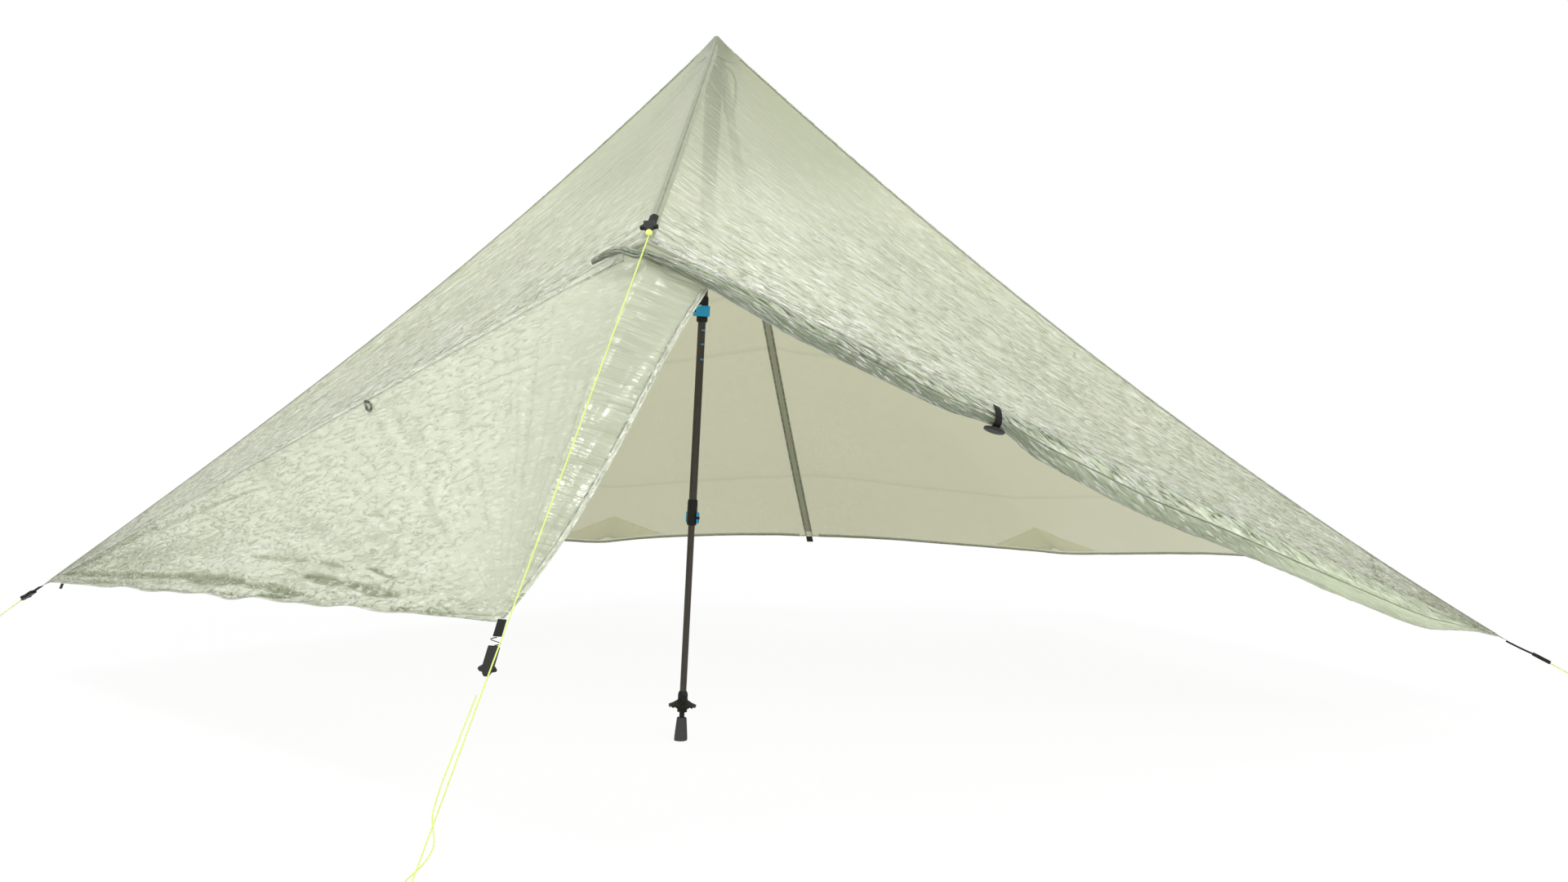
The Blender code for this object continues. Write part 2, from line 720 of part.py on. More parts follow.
def lock_outline(length):
    """A cord tensioner seen flat: a straight body that widens to two ears, then tapers."""
    half = LOCK_WIDTH / 2
    ear = LOCK_EAR_WIDTH / 2
    head = length - LOCK_HEAD
    right_side = [
        (half * 0.84, 0.0),
        (half * 0.84, head),
        (ear * 0.86, head + LOCK_HEAD * 0.16),
        (ear, head + LOCK_HEAD * 0.34),
        (ear * 0.90, head + LOCK_HEAD * 0.50),
        (half * 0.70, head + LOCK_HEAD * 0.58),
        (half * 0.38, length),
    ]
    return right_side + [(-x, y) for x, y in reversed(right_side)]


def strap(name, path, across, width, thickness, finish, origin=(0.0, 0.0, 0.0)):
    """A flat strap along a path, its width lying along the across direction."""
    half = unit(np.asarray(across, float)) * width / 2
    rows = [[np.asarray(point) - half, np.asarray(point) + half] for point in path]
    along = np.asarray(path[1]) - np.asarray(path[0])
    return sheet(name, rows, thickness, finish, outward=np.cross(along, half), origin=origin, offset=0.0)


def stake_loop(name, stake, towards, finish):
    """The knotted loop at a line's end, flat on the ground round the point where a peg would stand."""
    along = unit((towards - stake) * (1.0, 1.0, 0.0))
    centre = stake + UP * CORD * 0.55
    ring = []
    across = np.cross(UP, along)
    for step in range(20):
        angle = 2.0 * math.pi * step / 20
        forward = along * (LOOP_RADIUS * LOOP_STRETCH * math.cos(angle))
        ring.append(centre + forward + across * (LOOP_RADIUS * math.sin(angle)))
    loop = cord(name, ring, finish, closed=True)
    bpy.context.view_layer.update()
    shape = bmesh.new()
    shape.from_mesh(bpy.data.meshes.new_from_object(loop))
    bpy.data.objects.remove(loop)
    knot_place = centre + along * (LOOP_RADIUS * LOOP_STRETCH) + UP * (KNOT_RADIUS - CORD * 0.55)
    mesh = bpy.data.meshes.new(name)
    shape.to_mesh(mesh)
    shape.free()
    made = new_object(name, mesh, finish)
    knot_mesh = bpy.data.meshes.new(name + "_knot")
    shape = bmesh.new()
    bmesh.ops.create_icosphere(
        shape, subdivisions=2, radius=KNOT_RADIUS, matrix=Matrix.Translation(Vector(knot_place))
    )
    shape.to_mesh(knot_mesh)
    shape.free()
    knot = bpy.data.objects.new(name + "_knot", knot_mesh)
    bpy.context.scene.collection.objects.link(knot)
    cut(made, knot, "UNION")
    return knot_place


def ridge_tape(name, first, first_side, second, second_side, finish, end=0.965):
    """The seam tape over a ridge, from one panel's face over the fold to the other's."""
    rows = []
    for down in DOWN_SHARES[:-1] + (end,):
        rows.append(first.seam_side(first_side, down) + second.seam_side(second_side, down)[::-1])
    return sheet(name, rows, TAPE, finish, outward=first.out + second.out)


def hem_band(name, panel, finish, start, end):
    """The folded band along a panel's lower edge, between two shares of the hem."""
    lift = FABRIC + GAP
    shares = [share for share in panel.across_shares(1.0) if start < share < end]
    shares = [start] + shares + [end]
    rows = []
    for share in shares:
        rows.append(
            [
                panel.lifted(share, panel.above_hem(share, HEM_BAND), lift),
                panel.lifted(share, panel.above_hem(share, GAP), lift),
            ]
        )
    return sheet(name, rows, TAPE, finish, outward=panel.out)


def peak_cap(panels, finish):
    """A rounded cap of doubled fabric over the peak, on top of the seam tapes."""
    lift = FABRIC + TAPE + 2 * GAP + CAP_CLEARANCE
    rings = []
    for reach in (0.2, 0.45, 0.7, 1.0):
        ring = []
        for index, (panel, start, end) in enumerate(panels):
            before, _, before_end = panels[index - 1]
            for step in (0.0, 0.3, 0.5, 0.7):
                share = mix(start, end, step)
                edge = mix(panel.near(1.0), panel.far(1.0), share)
                down = CAP_LENGTH * reach / np.linalg.norm(edge - PEAK)
                normal = panel.normal(share, down)
                if step == 0.0:
                    middle = unit(normal + before.normal(before_end, down))
                    normal = middle / np.dot(middle, normal)
                ring.append(panel.at(share, down) + normal * lift)
        rings.append(ring)
    count = len(rings[0])
    points = [PEAK + UP * lift * 1.5] + [point for ring in rings for point in ring]
    faces = [(0, 1 + j, 1 + (j + 1) % count) for j in range(count)]
    faces += [tuple(1 + index for index in face[::-1]) for face in grid_faces(len(rings), count, closed=True)]
    mesh = mesh_of("peak_cap", points, faces)
    shape = bmesh.new()
    shape.from_mesh(mesh)
    bmesh.ops.recalc_face_normals(shape, faces=shape.faces)
    shape.faces.ensure_lookup_table()
    if shape.faces[0].normal.z < 0.0:
        bmesh.ops.reverse_faces(shape, faces=shape.faces)
    shape.to_mesh(mesh)
    shape.free()
    made = new_object("peak_cap", mesh, finish)
    thicken(made, CAP_FABRIC)


def build_canopy(paint):
    """The four sewn panels with their seam tapes, hems, cap and corner patches."""
    ridges = {
        "front": bowed(PEAK, BEAK, FRONT_RIDGE_SAG),
        "left": bowed(PEAK, LEFT, LEFT_RIDGE_SAG, LEFT_RIDGE_SKEW),
        "right": bowed(PEAK, RIGHT_CORNER, RIGHT_RIDGE_SAG),
        "rear": bowed(PEAK, REAR, REAR_RIDGE_SAG),
    }
    left_line = bowed(BEAK, LEFT, -LEFT_DOOR_LINE_RISE)
    right_line = bowed(BEAK, RIGHT_CORNER, RIGHT_DOOR_LINE_SAG)
    left_hem, left_bend = joined(
        bowed(LEFT, REAR_LEFT, -SIDE_HEM_RISE, -SIDE_HEM_SKEW),
        bowed(REAR_LEFT, REAR, -REAR_HEM_RISE),
    )
    right_hem, right_bend = joined(
        bowed(RIGHT_CORNER, REAR_RIGHT, -SIDE_HEM_RISE, -SIDE_HEM_SKEW),
        bowed(REAR_RIGHT, REAR, -REAR_HEM_RISE),
    )
    front_left = Panel(ridges["front"], ridges["left"], left_line, FRONT_PANEL_DIP, 13)
    front_right = Panel(ridges["front"], ridges["right"], right_line, FRONT_PANEL_DIP, 13)
    rear_left = Panel(ridges["left"], ridges["rear"], left_hem, REAR_PANEL_DIP, 16, left_bend)
    rear_right = Panel(ridges["right"], ridges["rear"], right_hem, REAR_PANEL_DIP, 16, right_bend)
    for name, panel in (
        ("front_left_panel", front_left),
        ("front_right_panel", front_right),
        ("rear_left_panel", rear_left),
        ("rear_right_panel", rear_right),
    ):
        sheet(name, panel.rows(), FABRIC, paint["fabric"], outward=panel.out)
    ridge_tape("front_ridge_seam", front_left, "near", front_right, "near", paint["seam"], end=FRONT_TAPE_END)
    ridge_tape("left_ridge_seam", front_left, "far", rear_left, "near", paint["seam"])
    ridge_tape("right_ridge_seam", front_right, "far", rear_right, "near", paint["seam"])
    ridge_tape("rear_ridge_seam", rear_left, "far", rear_right, "far", paint["seam"])
    hem_band("left_rear_hem", rear_left, paint["seam"], HEM_START_SHARE, HEM_END_SHARE)
    hem_band("right_rear_hem", rear_right, paint["seam"], HEM_START_SHARE, HEM_END_SHARE)
    hem_band("right_door_seam", front_right, paint["seam"], HEM_START_SHARE, HEM_END_SHARE)
    around = (
        (front_left, 0.0, 1.0),
        (rear_left, 0.0, 1.0),
        (rear_right, 1.0, 0.0),
        (front_right, 1.0, 0.0),
    )
    peak_cap(around, paint["seam"])
    corner_patch("left_corner_patch", front_left, 1.0, PATCH_SIDE, paint["seam"])
    corner_patch("right_corner_patch", front_right, 1.0, PATCH_SIDE, paint["seam"])
    corner_patch("rear_left_corner_patch", rear_left, left_bend, REAR_PATCH_SIDE, paint["seam"], True)
    corner_patch("rear_right_corner_patch", rear_right, right_bend, REAR_PATCH_SIDE, paint["seam"], True)
    return front_left, front_right, left_line, right_line


def build_doors(paint, front_left, left_line, right_line):
    """The closed left door with its seam and hems, and the rolled right door."""
    door = Door(left_line, right_line)
    end = door.end_share()
    rows = []
    for share in DOOR_LEFT_SHARES + DOOR_RIGHT_SHARES:
        row = [door.at(share, door.below_seam(share, GAP)), door.at(share, door.below_seam(share, HEM_BAND))]
        row += [door.at(share, down) for down in DOOR_DOWN_SHARES]
        row.append(door.at(share, end))
        rows.append(row)
    sheet("left_door_panel", rows, FABRIC, paint["fabric"], outward=door.out)
    lift = FABRIC + GAP
    seam = []
    for share in DOOR_LEFT_SHARES[:-1]:
        across = share * DOOR_START_SHARE
        seam.append(
            [
                front_left.lifted(across, front_left.above_hem(across, HEM_BAND), lift),
                front_left.lifted(across, front_left.above_hem(across, GAP), lift),
                door.lifted(share, door.below_seam(share, GAP), lift),
                door.lifted(share, door.below_seam(share, HEM_BAND), lift),
            ]
        )
    sheet("left_door_seam", seam, TAPE, paint["seam"], outward=door.out)
    for name, share, inner in DOOR_BANDS:
        band = []
        for down in DOOR_DOWN_SHARES:
            edge = door.at(share, down)
            inward = unit(door.at(inner, down) - edge)
            near = door.lifted(share, down, lift) + inward * GAP
            band.append([near, near + inward * HEM_BAND])
        sheet(name, band, TAPE, paint["seam"], outward=door.out)
    loft("right_door_roll", roll_rings(left_line, right_line), paint["roll"])
    return door


def ridge_tab(name, panel_a, panel_b, width, finish):
    """Webbing folded over the front ridge's lower end, on top of its seam tape."""
    lift = FABRIC + TAPE + 2 * GAP
    ridge = np.linalg.norm(BEAK - PEAK)
    rows = []
    for reach in np.linspace(TIEOUT_TAB_TOP, TIEOUT_TAB_END, 4):
        down = 1.0 - reach / ridge
        across = width / 2 / np.linalg.norm(panel_a.far(down) - panel_a.near(down))
        thin = panel_a.margins(down)[0]
        rows.append(
            [
                panel_a.lifted(across, down, lift),
                panel_a.lifted(thin, down, lift),
                panel_b.lifted(thin, down, lift),
                panel_b.lifted(across, down, lift),
            ]
        )
    sheet(name, rows, WEBBING, finish, outward=panel_a.out + panel_b.out)


def lock_on(name, place, along, facing, length, finish):
    """A cord tensioner that starts at a place and points along a direction."""
    frame = frame_along(place, along, facing)
    return prism(name, lock_outline(length), LOCK_THICKNESS, frame, finish, origin=tuple(place), bevel=0.0008)


def taut_line(name, start, end, finish, count):
    """A tight line with the little sag of its own weight."""
    middle = mix(start, end, 0.5) - UP * LINE_SAG
    return cord(name, smooth_route([start, middle, end], count), finish)


def build_side_line(side, corner, stake, strap_length, paint):
    """One side corner's webbing, tensioner, line and ground loop."""
    along = unit(stake - corner)
    across = unit(np.cross(along, UP))
    facing = np.cross(across, along)
    start = corner + along * CORNER_GAP
    path = [start + along * strap_length * share for share in (0.0, 0.5, 1.0)]
    strap(f"{side}_corner_webbing", path, across, WEBBING_WIDTH, WEBBING, paint["webbing"])
    lock_start = start + along * (strap_length + GAP)
    lock_on(f"{side}_linelock", lock_start, along, facing, LOCK_LENGTH, paint["black_plastic"])
    line_start = lock_start + along * (LOCK_LENGTH + GAP)
    knot = stake_loop(f"{side}_guyline_loop", stake, line_start, paint["cord"])
    line_end = knot + unit(line_start - knot) * (KNOT_RADIUS + GAP)
    taut_line(f"{side}_guyline", line_start, line_end, paint["cord"], 8)


def build_front_lines(paint, front_left, front_right):
    """The beak's guyline and the closed door's guyline, each with its fittings."""
    ridge_tab("front_tieout_webbing", front_left, front_right, WEBBING_WIDTH, paint["webbing"])
    ridge_way = unit(BEAK - PEAK)
    ridge_face = unit(np.cross(ridge_way, RIGHT))
    lock_start = BEAK - ridge_way * (TIEOUT_TAB_END - GAP) + ridge_face * FRONT_LOCK_LIFT
    lock_way = unit(ridge_way + RIGHT * FRONT_LOCK_SWING)
    lock_on("front_linelock", lock_start, lock_way, ridge_face, FRONT_LOCK_LENGTH, paint["black_plastic"])
    knot_place = lock_start + lock_way * (FRONT_LOCK_LENGTH + GAP + FRONT_KNOT)
    ball("front_cord_knot", knot_place, FRONT_KNOT, paint["cord"])
    ground = stake_loop("front_guyline_loop", FRONT_STAKE, knot_place, paint["cord"])
    way = unit(ground - knot_place)
    start = knot_place + way * (FRONT_KNOT + GAP)
    end = ground - way * (KNOT_RADIUS + GAP)
    taut_line("front_guyline", start, end, paint["cord"], 16)
    along = unit(unit(DOOR_STAKE - DOOR_CORNER) + RIGHT * DOOR_CHAIN_SWING)
    across = unit(np.cross(along, UP))
    facing = np.cross(across, along)
    webbing_start = DOOR_CORNER - along * DOOR_STRAP_BACK
    path = [webbing_start + along * DOOR_STRAP * share for share in (0.0, 0.5, 1.0)]
    strap("door_corner_webbing", path, across, WEBBING_WIDTH, WEBBING, paint["webbing"])
    hook_start = webbing_start + along * (DOOR_STRAP + DOOR_HOOK_WIRE)
    build_door_hook(hook_start, along, across, paint)
    door_lock_start = hook_start + along * (DOOR_HOOK_LENGTH + DOOR_HOOK_WIRE)
    lock_on("door_linelock", door_lock_start, along, facing, DOOR_LOCK_LENGTH, paint["black_plastic"])
    line_start = door_lock_start + along * (DOOR_LOCK_LENGTH + GAP)
    ground = stake_loop("door_guyline_loop", DOOR_STAKE, DOOR_LINE_ROUTE[-1], paint["cord"])
    line_end = ground + unit(DOOR_LINE_ROUTE[-1] - ground) * (KNOT_RADIUS + GAP)
    cord("door_guyline", smooth_route([line_start] + DOOR_LINE_ROUTE + [line_end], 30), paint["cord"])


def build_door_hook(start, along, across, paint):
    """The S of stiff wire between the door's webbing and its tensioner."""
    reach = DOOR_HOOK_LENGTH
    swing = DOOR_HOOK_WIDTH / 2
    route = []
    for step in range(15):
        share = step / 14
        sway = math.sin(2.0 * math.pi * share) * swing
        route.append(start + along * (reach * share) + across * sway)
    cord("door_hook", route, paint["black_plastic"], width=DOOR_HOOK_WIRE)


def ball(name, place, radius, finish):
    """A round knot."""
    mesh = bpy.data.meshes.new(name)
    shape = bmesh.new()
    bmesh.ops.create_icosphere(shape, subdivisions=2, radius=radius, matrix=Matrix.Translation(Vector(place)))
    shape.to_mesh(mesh)
    shape.free()
    return new_object(name, mesh, finish)


def build_toggle(paint, left_line, right_line):
    """The strap round the rolled door and the flat button under it."""
    station = TOGGLE_SHARE * np.linalg.norm(right_line(1.0) - right_line(0.0))
    centre, side, tangent, width, height = roll_frame(left_line, right_line, station)
    off = WEBBING / 2 + TOGGLE_STRAP_CLEARANCE
    path = []
    for degrees in range(62, -98, -20):
        angle = math.radians(degrees)
        outward = side * (math.cos(angle) * (width / 2 + off))
        path.append(centre + outward + UP * (math.sin(angle) * (height / 2 + off)))
    strap("right_toggle_strap", path, tangent, TOGGLE_STRAP_WIDTH, WEBBING, paint["webbing"])
    down = unit(path[-1] - centre)
    pivot = path[-1] + down * (WEBBING / 2 + GAP)
    frame = bpy.data.objects.new("toggle_frame", None)
    bpy.context.scene.collection.objects.link(frame)
    frame.matrix_world = frame_along(pivot, tangent, -down)
    half = TOGGLE_THICKNESS / 2
    profile = [
        (0.0, 0.0),
        (TOGGLE_STEM, 0.0),
        (TOGGLE_STEM, -TOGGLE_STEM_LENGTH),
        (TOGGLE_RADIUS * 0.55, -TOGGLE_STEM_LENGTH - half * 0.4),
        (TOGGLE_RADIUS, -TOGGLE_STEM_LENGTH + half * 0.3),
        (TOGGLE_RADIUS, -TOGGLE_STEM_LENGTH - half),
        (TOGGLE_RADIUS * 0.6, -TOGGLE_STEM_LENGTH - TOGGLE_THICKNESS),
        (0.0, -TOGGLE_STEM_LENGTH - TOGGLE_THICKNESS),
    ]
    turned("right_toggle_disc", profile, paint["black_plastic"], frame, steps=24)


def build_left_loop(paint, door):
    """The elastic loop that holds the left door when it is rolled, hanging at its seam."""
    share = LEFT_LOOP_SHARE / DOOR_START_SHARE
    top = door.lifted(share, door.below_seam(share, HEM_BAND), FABRIC + TAPE + 2 * GAP + ELASTIC / 2)
    low_down = door.below_seam(share, HEM_BAND + ELASTIC_LENGTH)
    low = door.lifted(share, low_down, FABRIC + TAPE + 2 * GAP + ELASTIC / 2)
    fall = unit(low - top)
    along = unit(door.top(share + 0.02) - door.top(share - 0.02))
    along = unit(along - fall * np.dot(along, fall))
    middle = top + fall * ELASTIC_LENGTH / 2
    ring = []
    for step in range(20):
        angle = 2.0 * math.pi * step / 20
        narrow = ELASTIC_WIDTH / 2 * (0.72 + 0.28 * math.sin(angle - math.pi / 2))
        turn = angle - math.pi / 2
        below = fall * (math.sin(turn) * ELASTIC_LENGTH / 2)
        ring.append(middle - top + below + along * (math.cos(turn) * narrow))
    made = cord("left_door_loop", ring, paint["webbing"], width=ELASTIC, closed=True)
    made.location = tuple(top)


def build_tieouts(paint, door):
    """Small webbing tabs at the middle of the rear hem and at the left end of the door's hem."""
    along = unit(REAR - PEAK)
    across = unit(np.cross(along, UP))
    start = REAR + along * 2 * GAP
    path = [start + along * REAR_TAB * share for share in (0.0, 0.5, 1.0)]
    strap("rear_tieout", path, across, WEBBING_WIDTH, WEBBING, paint["webbing"])
    down = door.below_seam(1.0, SIDE_TAB_PLACE)
    along = unit(door.at(1.0, down + 0.02) - door.at(1.0, down))
    inward = unit(door.at(0.97, down) - door.at(1.0, down))
    inward = unit(inward - along * np.dot(inward, along))
    start = door.at(1.0, down) - inward * GAP
    path = [start - inward * SIDE_TAB * share for share in (0.0, 0.5, 1.0)]
    strap("door_hem_tab", path, along, SIDE_TAB, WEBBING, paint["webbing"])


# The trekking pole
def pole_parent():
    """An empty that holds the pole's own axis, from its foot to the peak."""
    frame = bpy.data.objects.new("pole_axis", None)
    bpy.context.scene.collection.objects.link(frame)
    frame.rotation_mode = "QUATERNION"
    frame.rotation_quaternion = Vector((0.0, 0.0, 1.0)).rotation_difference(Vector(PEAK))
    return frame


def pole_point(x, y, level):
    """A point given in the pole's own axes, in the world."""
    turn = Vector((0.0, 0.0, 1.0)).rotation_difference(Vector(PEAK))
    return np.array(turn @ Vector((x, y, level)))


def build_tip(axis, paint):
    """The rubber foot over the tip, the tip on the lower tube, and the basket round it."""
    bore = TIP_WIDTH / 2 + GAP
    foot = turned(
        "rubber_foot",
        [
            (0.0, TIP_BOTTOM - GAP),
            (bore, TIP_BOTTOM - GAP),
            (bore, FOOT_TOP),
            (FOOT_TOP_WIDTH / 2 - 0.001, FOOT_TOP),
            (FOOT_TOP_WIDTH / 2, FOOT_TOP - 0.0015),
            (FOOT_BASE_WIDTH / 2, 0.006),
            (FOOT_BASE_WIDTH / 2, -FOOT_TRIM),
            (0.0, -FOOT_TRIM),
        ],
        paint["rubber"],
        axis,
        steps=24,
    )
    ground = bpy.data.meshes.new("ground_cutter")
    shape = bmesh.new()
    below = Matrix.Translation((0.0, 0.0, -2 * FOOT_BASE_WIDTH))
    bmesh.ops.create_cube(shape, size=4 * FOOT_BASE_WIDTH, matrix=below)
    shape.to_mesh(ground)
    shape.free()
    cutter = bpy.data.objects.new("ground_cutter", ground)
    bpy.context.scene.collection.objects.link(cutter)
    cut(foot, cutter)
    socket = LOWER_TUBE / 2 + GAP
    neck = TIP_WIDTH / 2
    waist = neck + TIP_STEP
    turned(
        "pole_tip",
        [
            (0.0, TIP_TOP - TIP_SOCKET),
            (socket, TIP_TOP - TIP_SOCKET),
            (socket, TIP_TOP),
            (socket + TIP_LIP, TIP_TOP),
            (TIP_COLLAR / 2, TIP_TOP - 0.0055),
            (TIP_COLLAR / 2, BASKET_TOP + GAP),
            (waist, BASKET_TOP + GAP),
            (waist, TIP_NECK_TOP),
            (neck, TIP_NECK_TOP - 0.004),
            (neck, TIP_BOTTOM),
            (0.0, TIP_BOTTOM),
        ],
        paint["black_plastic"],
        axis,
        steps=16,
    )
    build_basket(axis, waist + GAP, paint["black_plastic"])


def build_basket(axis, bore, finish):
    """A domed snow basket with a toothed rim and the stepped nut under it."""
    profile = [
        (bore, BASKET_TOP),
        (BASKET_CROWN / 2, BASKET_TOP),
        (BASKET_CROWN / 2 + 0.0012, BASKET_TOP - 0.0020),
        (BASKET_WIDTH * 0.36, BASKET_TOP - 0.0070),
        (BASKET_WIDTH / 2, BASKET_NUT_TOP + 0.0045),
        (BASKET_WIDTH / 2 - 0.001, BASKET_NUT_TOP + 0.0022),
        (BASKET_WIDTH * 0.34, BASKET_NUT_TOP + 0.0050),
        (BASKET_NUT_WIDTH / 2, BASKET_NUT_TOP + 0.003),
        (BASKET_NUT_WIDTH / 2, BASKET_BOTTOM),
        (bore, BASKET_BOTTOM),
    ]
    rim = 5
    steps = 2 * BASKET_TEETH
    points = []
    for step in range(steps):
        angle = 2.0 * math.pi * step / steps
        for index, (radius, level) in enumerate(profile):
            drop = BASKET_TOOTH if index == rim and step % 2 else 0.0
            points.append((radius * math.cos(angle), radius * math.sin(angle), level - drop))
    count = len(profile)
    faces = []
    for step in range(steps):
        after = (step + 1) % steps
        for index in range(count):
            low = (index + 1) % count
            here = step * count
            there = after * count
            faces.append((here + index, here + low, there + low, there + index))
    mesh = mesh_of("basket", points, faces)
    made = new_object("basket", mesh, finish)
    made.parent = axis


def build_tubes(axis, paint):
    """The three telescoping tubes."""
    wall = TUBE_WALL
    lower_bottom = TIP_TOP - TIP_SOCKET + GAP
    lower_top = LOWER_LOCK + LOCK_COLLAR + TUBE_OVERLAP
    middle_bottom = LOWER_LOCK + COLLAR_LIP + GAP
    middle_top = UPPER_LOCK + LOCK_COLLAR + TUBE_OVERLAP
    upper_bottom = UPPER_LOCK + COLLAR_LIP + GAP
    upper_top = GRIP_TOP - GRIP_CAP_HEIGHT - GAP
    for name, width, bottom, top in (
        ("lower_shaft", LOWER_TUBE, lower_bottom, lower_top),
        ("middle_shaft", MIDDLE_TUBE, middle_bottom, middle_top),
        ("upper_shaft", UPPER_TUBE, upper_bottom, upper_top),
    ):
        profile = tube_profile(width / 2, width / 2 - wall, bottom, top)
        turned(name, profile, paint["tube"], axis, steps=20)


def build_lock(axis, which, base, rise, small_tube, large_tube, facing, reach, paint):
    """A lever lock: the collar on the larger tube's end, its lever, and the pin that the lever turns on."""
    grip = small_tube / 2 + SLIDING_CLEARANCE
    seat = large_tube / 2 + GAP
    outer = large_tube / 2 + LOCK_COLLAR_WALL
    top = base + LOCK_COLLAR
    profile = [
        (outer - 0.0009, top),
        (outer, top - 0.004),
        (outer, base + 0.003),
        (outer - 0.0012, base),
        (grip, base),
        (grip, base + COLLAR_LIP),
        (seat, base + COLLAR_LIP),
        (seat, top),
    ]
    collar = turned(f"{which}_lock_collar", profile, paint["black_plastic"], axis, steps=24)
    level = base + rise
    pivot = outer + LEVER_STANDOFF
    knuckle = LEVER_PIN / 2 + LEVER_KNUCKLE_WALL
    turn = Matrix.Rotation(math.radians(facing), 4, "Z")
    lug = bpy.data.meshes.new(f"{which}_lug")
    shape = bmesh.new()
    lug_inside = outer - LOCK_COLLAR_WALL * 0.6
    lug_outside = pivot + LEVER_PIN / 2 + LEVER_KNUCKLE_WALL * 0.8
    size = Matrix.Diagonal((lug_outside - lug_inside, 2 * knuckle - 0.001, LUG_HEIGHT, 1.0))
    lug_middle = Matrix.Translation(((lug_outside + lug_inside) / 2, 0.0, level))
    bmesh.ops.create_cube(shape, size=1.0, matrix=lug_middle @ size)
    shape.to_mesh(lug)
    shape.free()
    lug_object = bpy.data.objects.new(f"{which}_lug", lug)
    bpy.context.scene.collection.objects.link(lug_object)
    lug_object.parent = axis
    lug_object.matrix_local = turn
    cut(collar, lug_object, "UNION")
    hole = cylinder(f"{which}_lug_hole", LEVER_PIN / 2 + GAP, 0.02, (pivot, 0.0, level))
    hole.parent = axis
    hole.matrix_local = turn
    cut(collar, hole)
    lever = build_lever(axis, which, outer, pivot, knuckle, level, turn, reach, paint["blue_plastic"])
    slot = bpy.data.meshes.new(f"{which}_slot")
    shape = bmesh.new()
    size = Matrix.Diagonal((4 * knuckle, 4 * knuckle, LUG_HEIGHT + 2 * GAP, 1.0))
    bmesh.ops.create_cube(shape, size=1.0, matrix=Matrix.Translation((pivot, 0.0, level)) @ size)
    shape.to_mesh(slot)
    shape.free()
    slot_object = bpy.data.objects.new(f"{which}_slot", slot)
    bpy.context.scene.collection.objects.link(slot_object)
    slot_object.parent = axis
    slot_object.matrix_local = turn
    cut(lever, slot_object)
    bore = cylinder(f"{which}_lever_bore", LEVER_PIN / 2 + GAP, 2 * LEVER_HEIGHT, (pivot, 0.0, level))
    bore.parent = axis
    bore.matrix_local = turn
    cut(lever, bore)
    place = turn @ Vector((pivot, 0.0, 0.0))
    pin_frame = bpy.data.objects.new(f"{which}_pin_axis", None)
    bpy.context.scene.collection.objects.link(pin_frame)
    pin_frame.parent = axis
    pin_frame.location = place
    half = LEVER_HEIGHT / 2 + 0.0004
    radius = LEVER_PIN / 2
    turned(
        f"{which}_lever_pin",
        [(0.0, level + half), (radius, level + half), (radius, level - half), (0.0, level - half)],
        paint["steel"],
        pin_frame,
        steps=12,
    )


def cylinder(name, radius, height, place):
    """A plain upright cylinder, used as a cutter."""
    mesh = bpy.data.meshes.new(name)
    shape = bmesh.new()
    middle = Matrix.Translation(place)
    bmesh.ops.create_cone(
        shape, segments=12, radius1=radius, radius2=radius, depth=height, cap_ends=True, matrix=middle
    )
    shape.to_mesh(mesh)
    shape.free()
    made = bpy.data.objects.new(name, mesh)
    bpy.context.scene.collection.objects.link(made)
    return made


def build_lever(axis, which, outer, pivot, knuckle, level, turn, reach, finish):
    """The lever hugs the collar for part of a turn, from its knuckle to its finger lip."""
    inner = outer + LEVER_GAP
    rim = inner + LEVER_WALL
    steps = round((reach - LEVER_START) / 15)
    outline = []
    for index, degrees in enumerate(np.linspace(reach, LEVER_START, steps)):
        angle = math.radians(degrees)
        lip = 0.0 if index else LEVER_LIP
        outline.append(((rim + lip) * math.cos(angle), (rim + lip) * math.sin(angle)))
    for degrees in range(75, -150, -45):
        angle = math.radians(degrees)
        outline.append((pivot + knuckle * math.cos(angle), knuckle * math.sin(angle)))
    for degrees in np.linspace(LEVER_START, reach, steps):
        angle = math.radians(degrees)
        outline.append((inner * math.cos(angle), inner * math.sin(angle)))
    pin_place = Vector((pivot, 0.0, level))
    corners = []
    for height in (-LEVER_HEIGHT / 2, LEVER_HEIGHT / 2):
        corners.append([Vector((x, y, level + height)) - pin_place for x, y in outline])
    made = loft(f"{which}_lock_lever", corners, finish, smooth=False)
    made.parent = axis
    made.matrix_local = turn @ Matrix.Translation(pin_place)
    return made


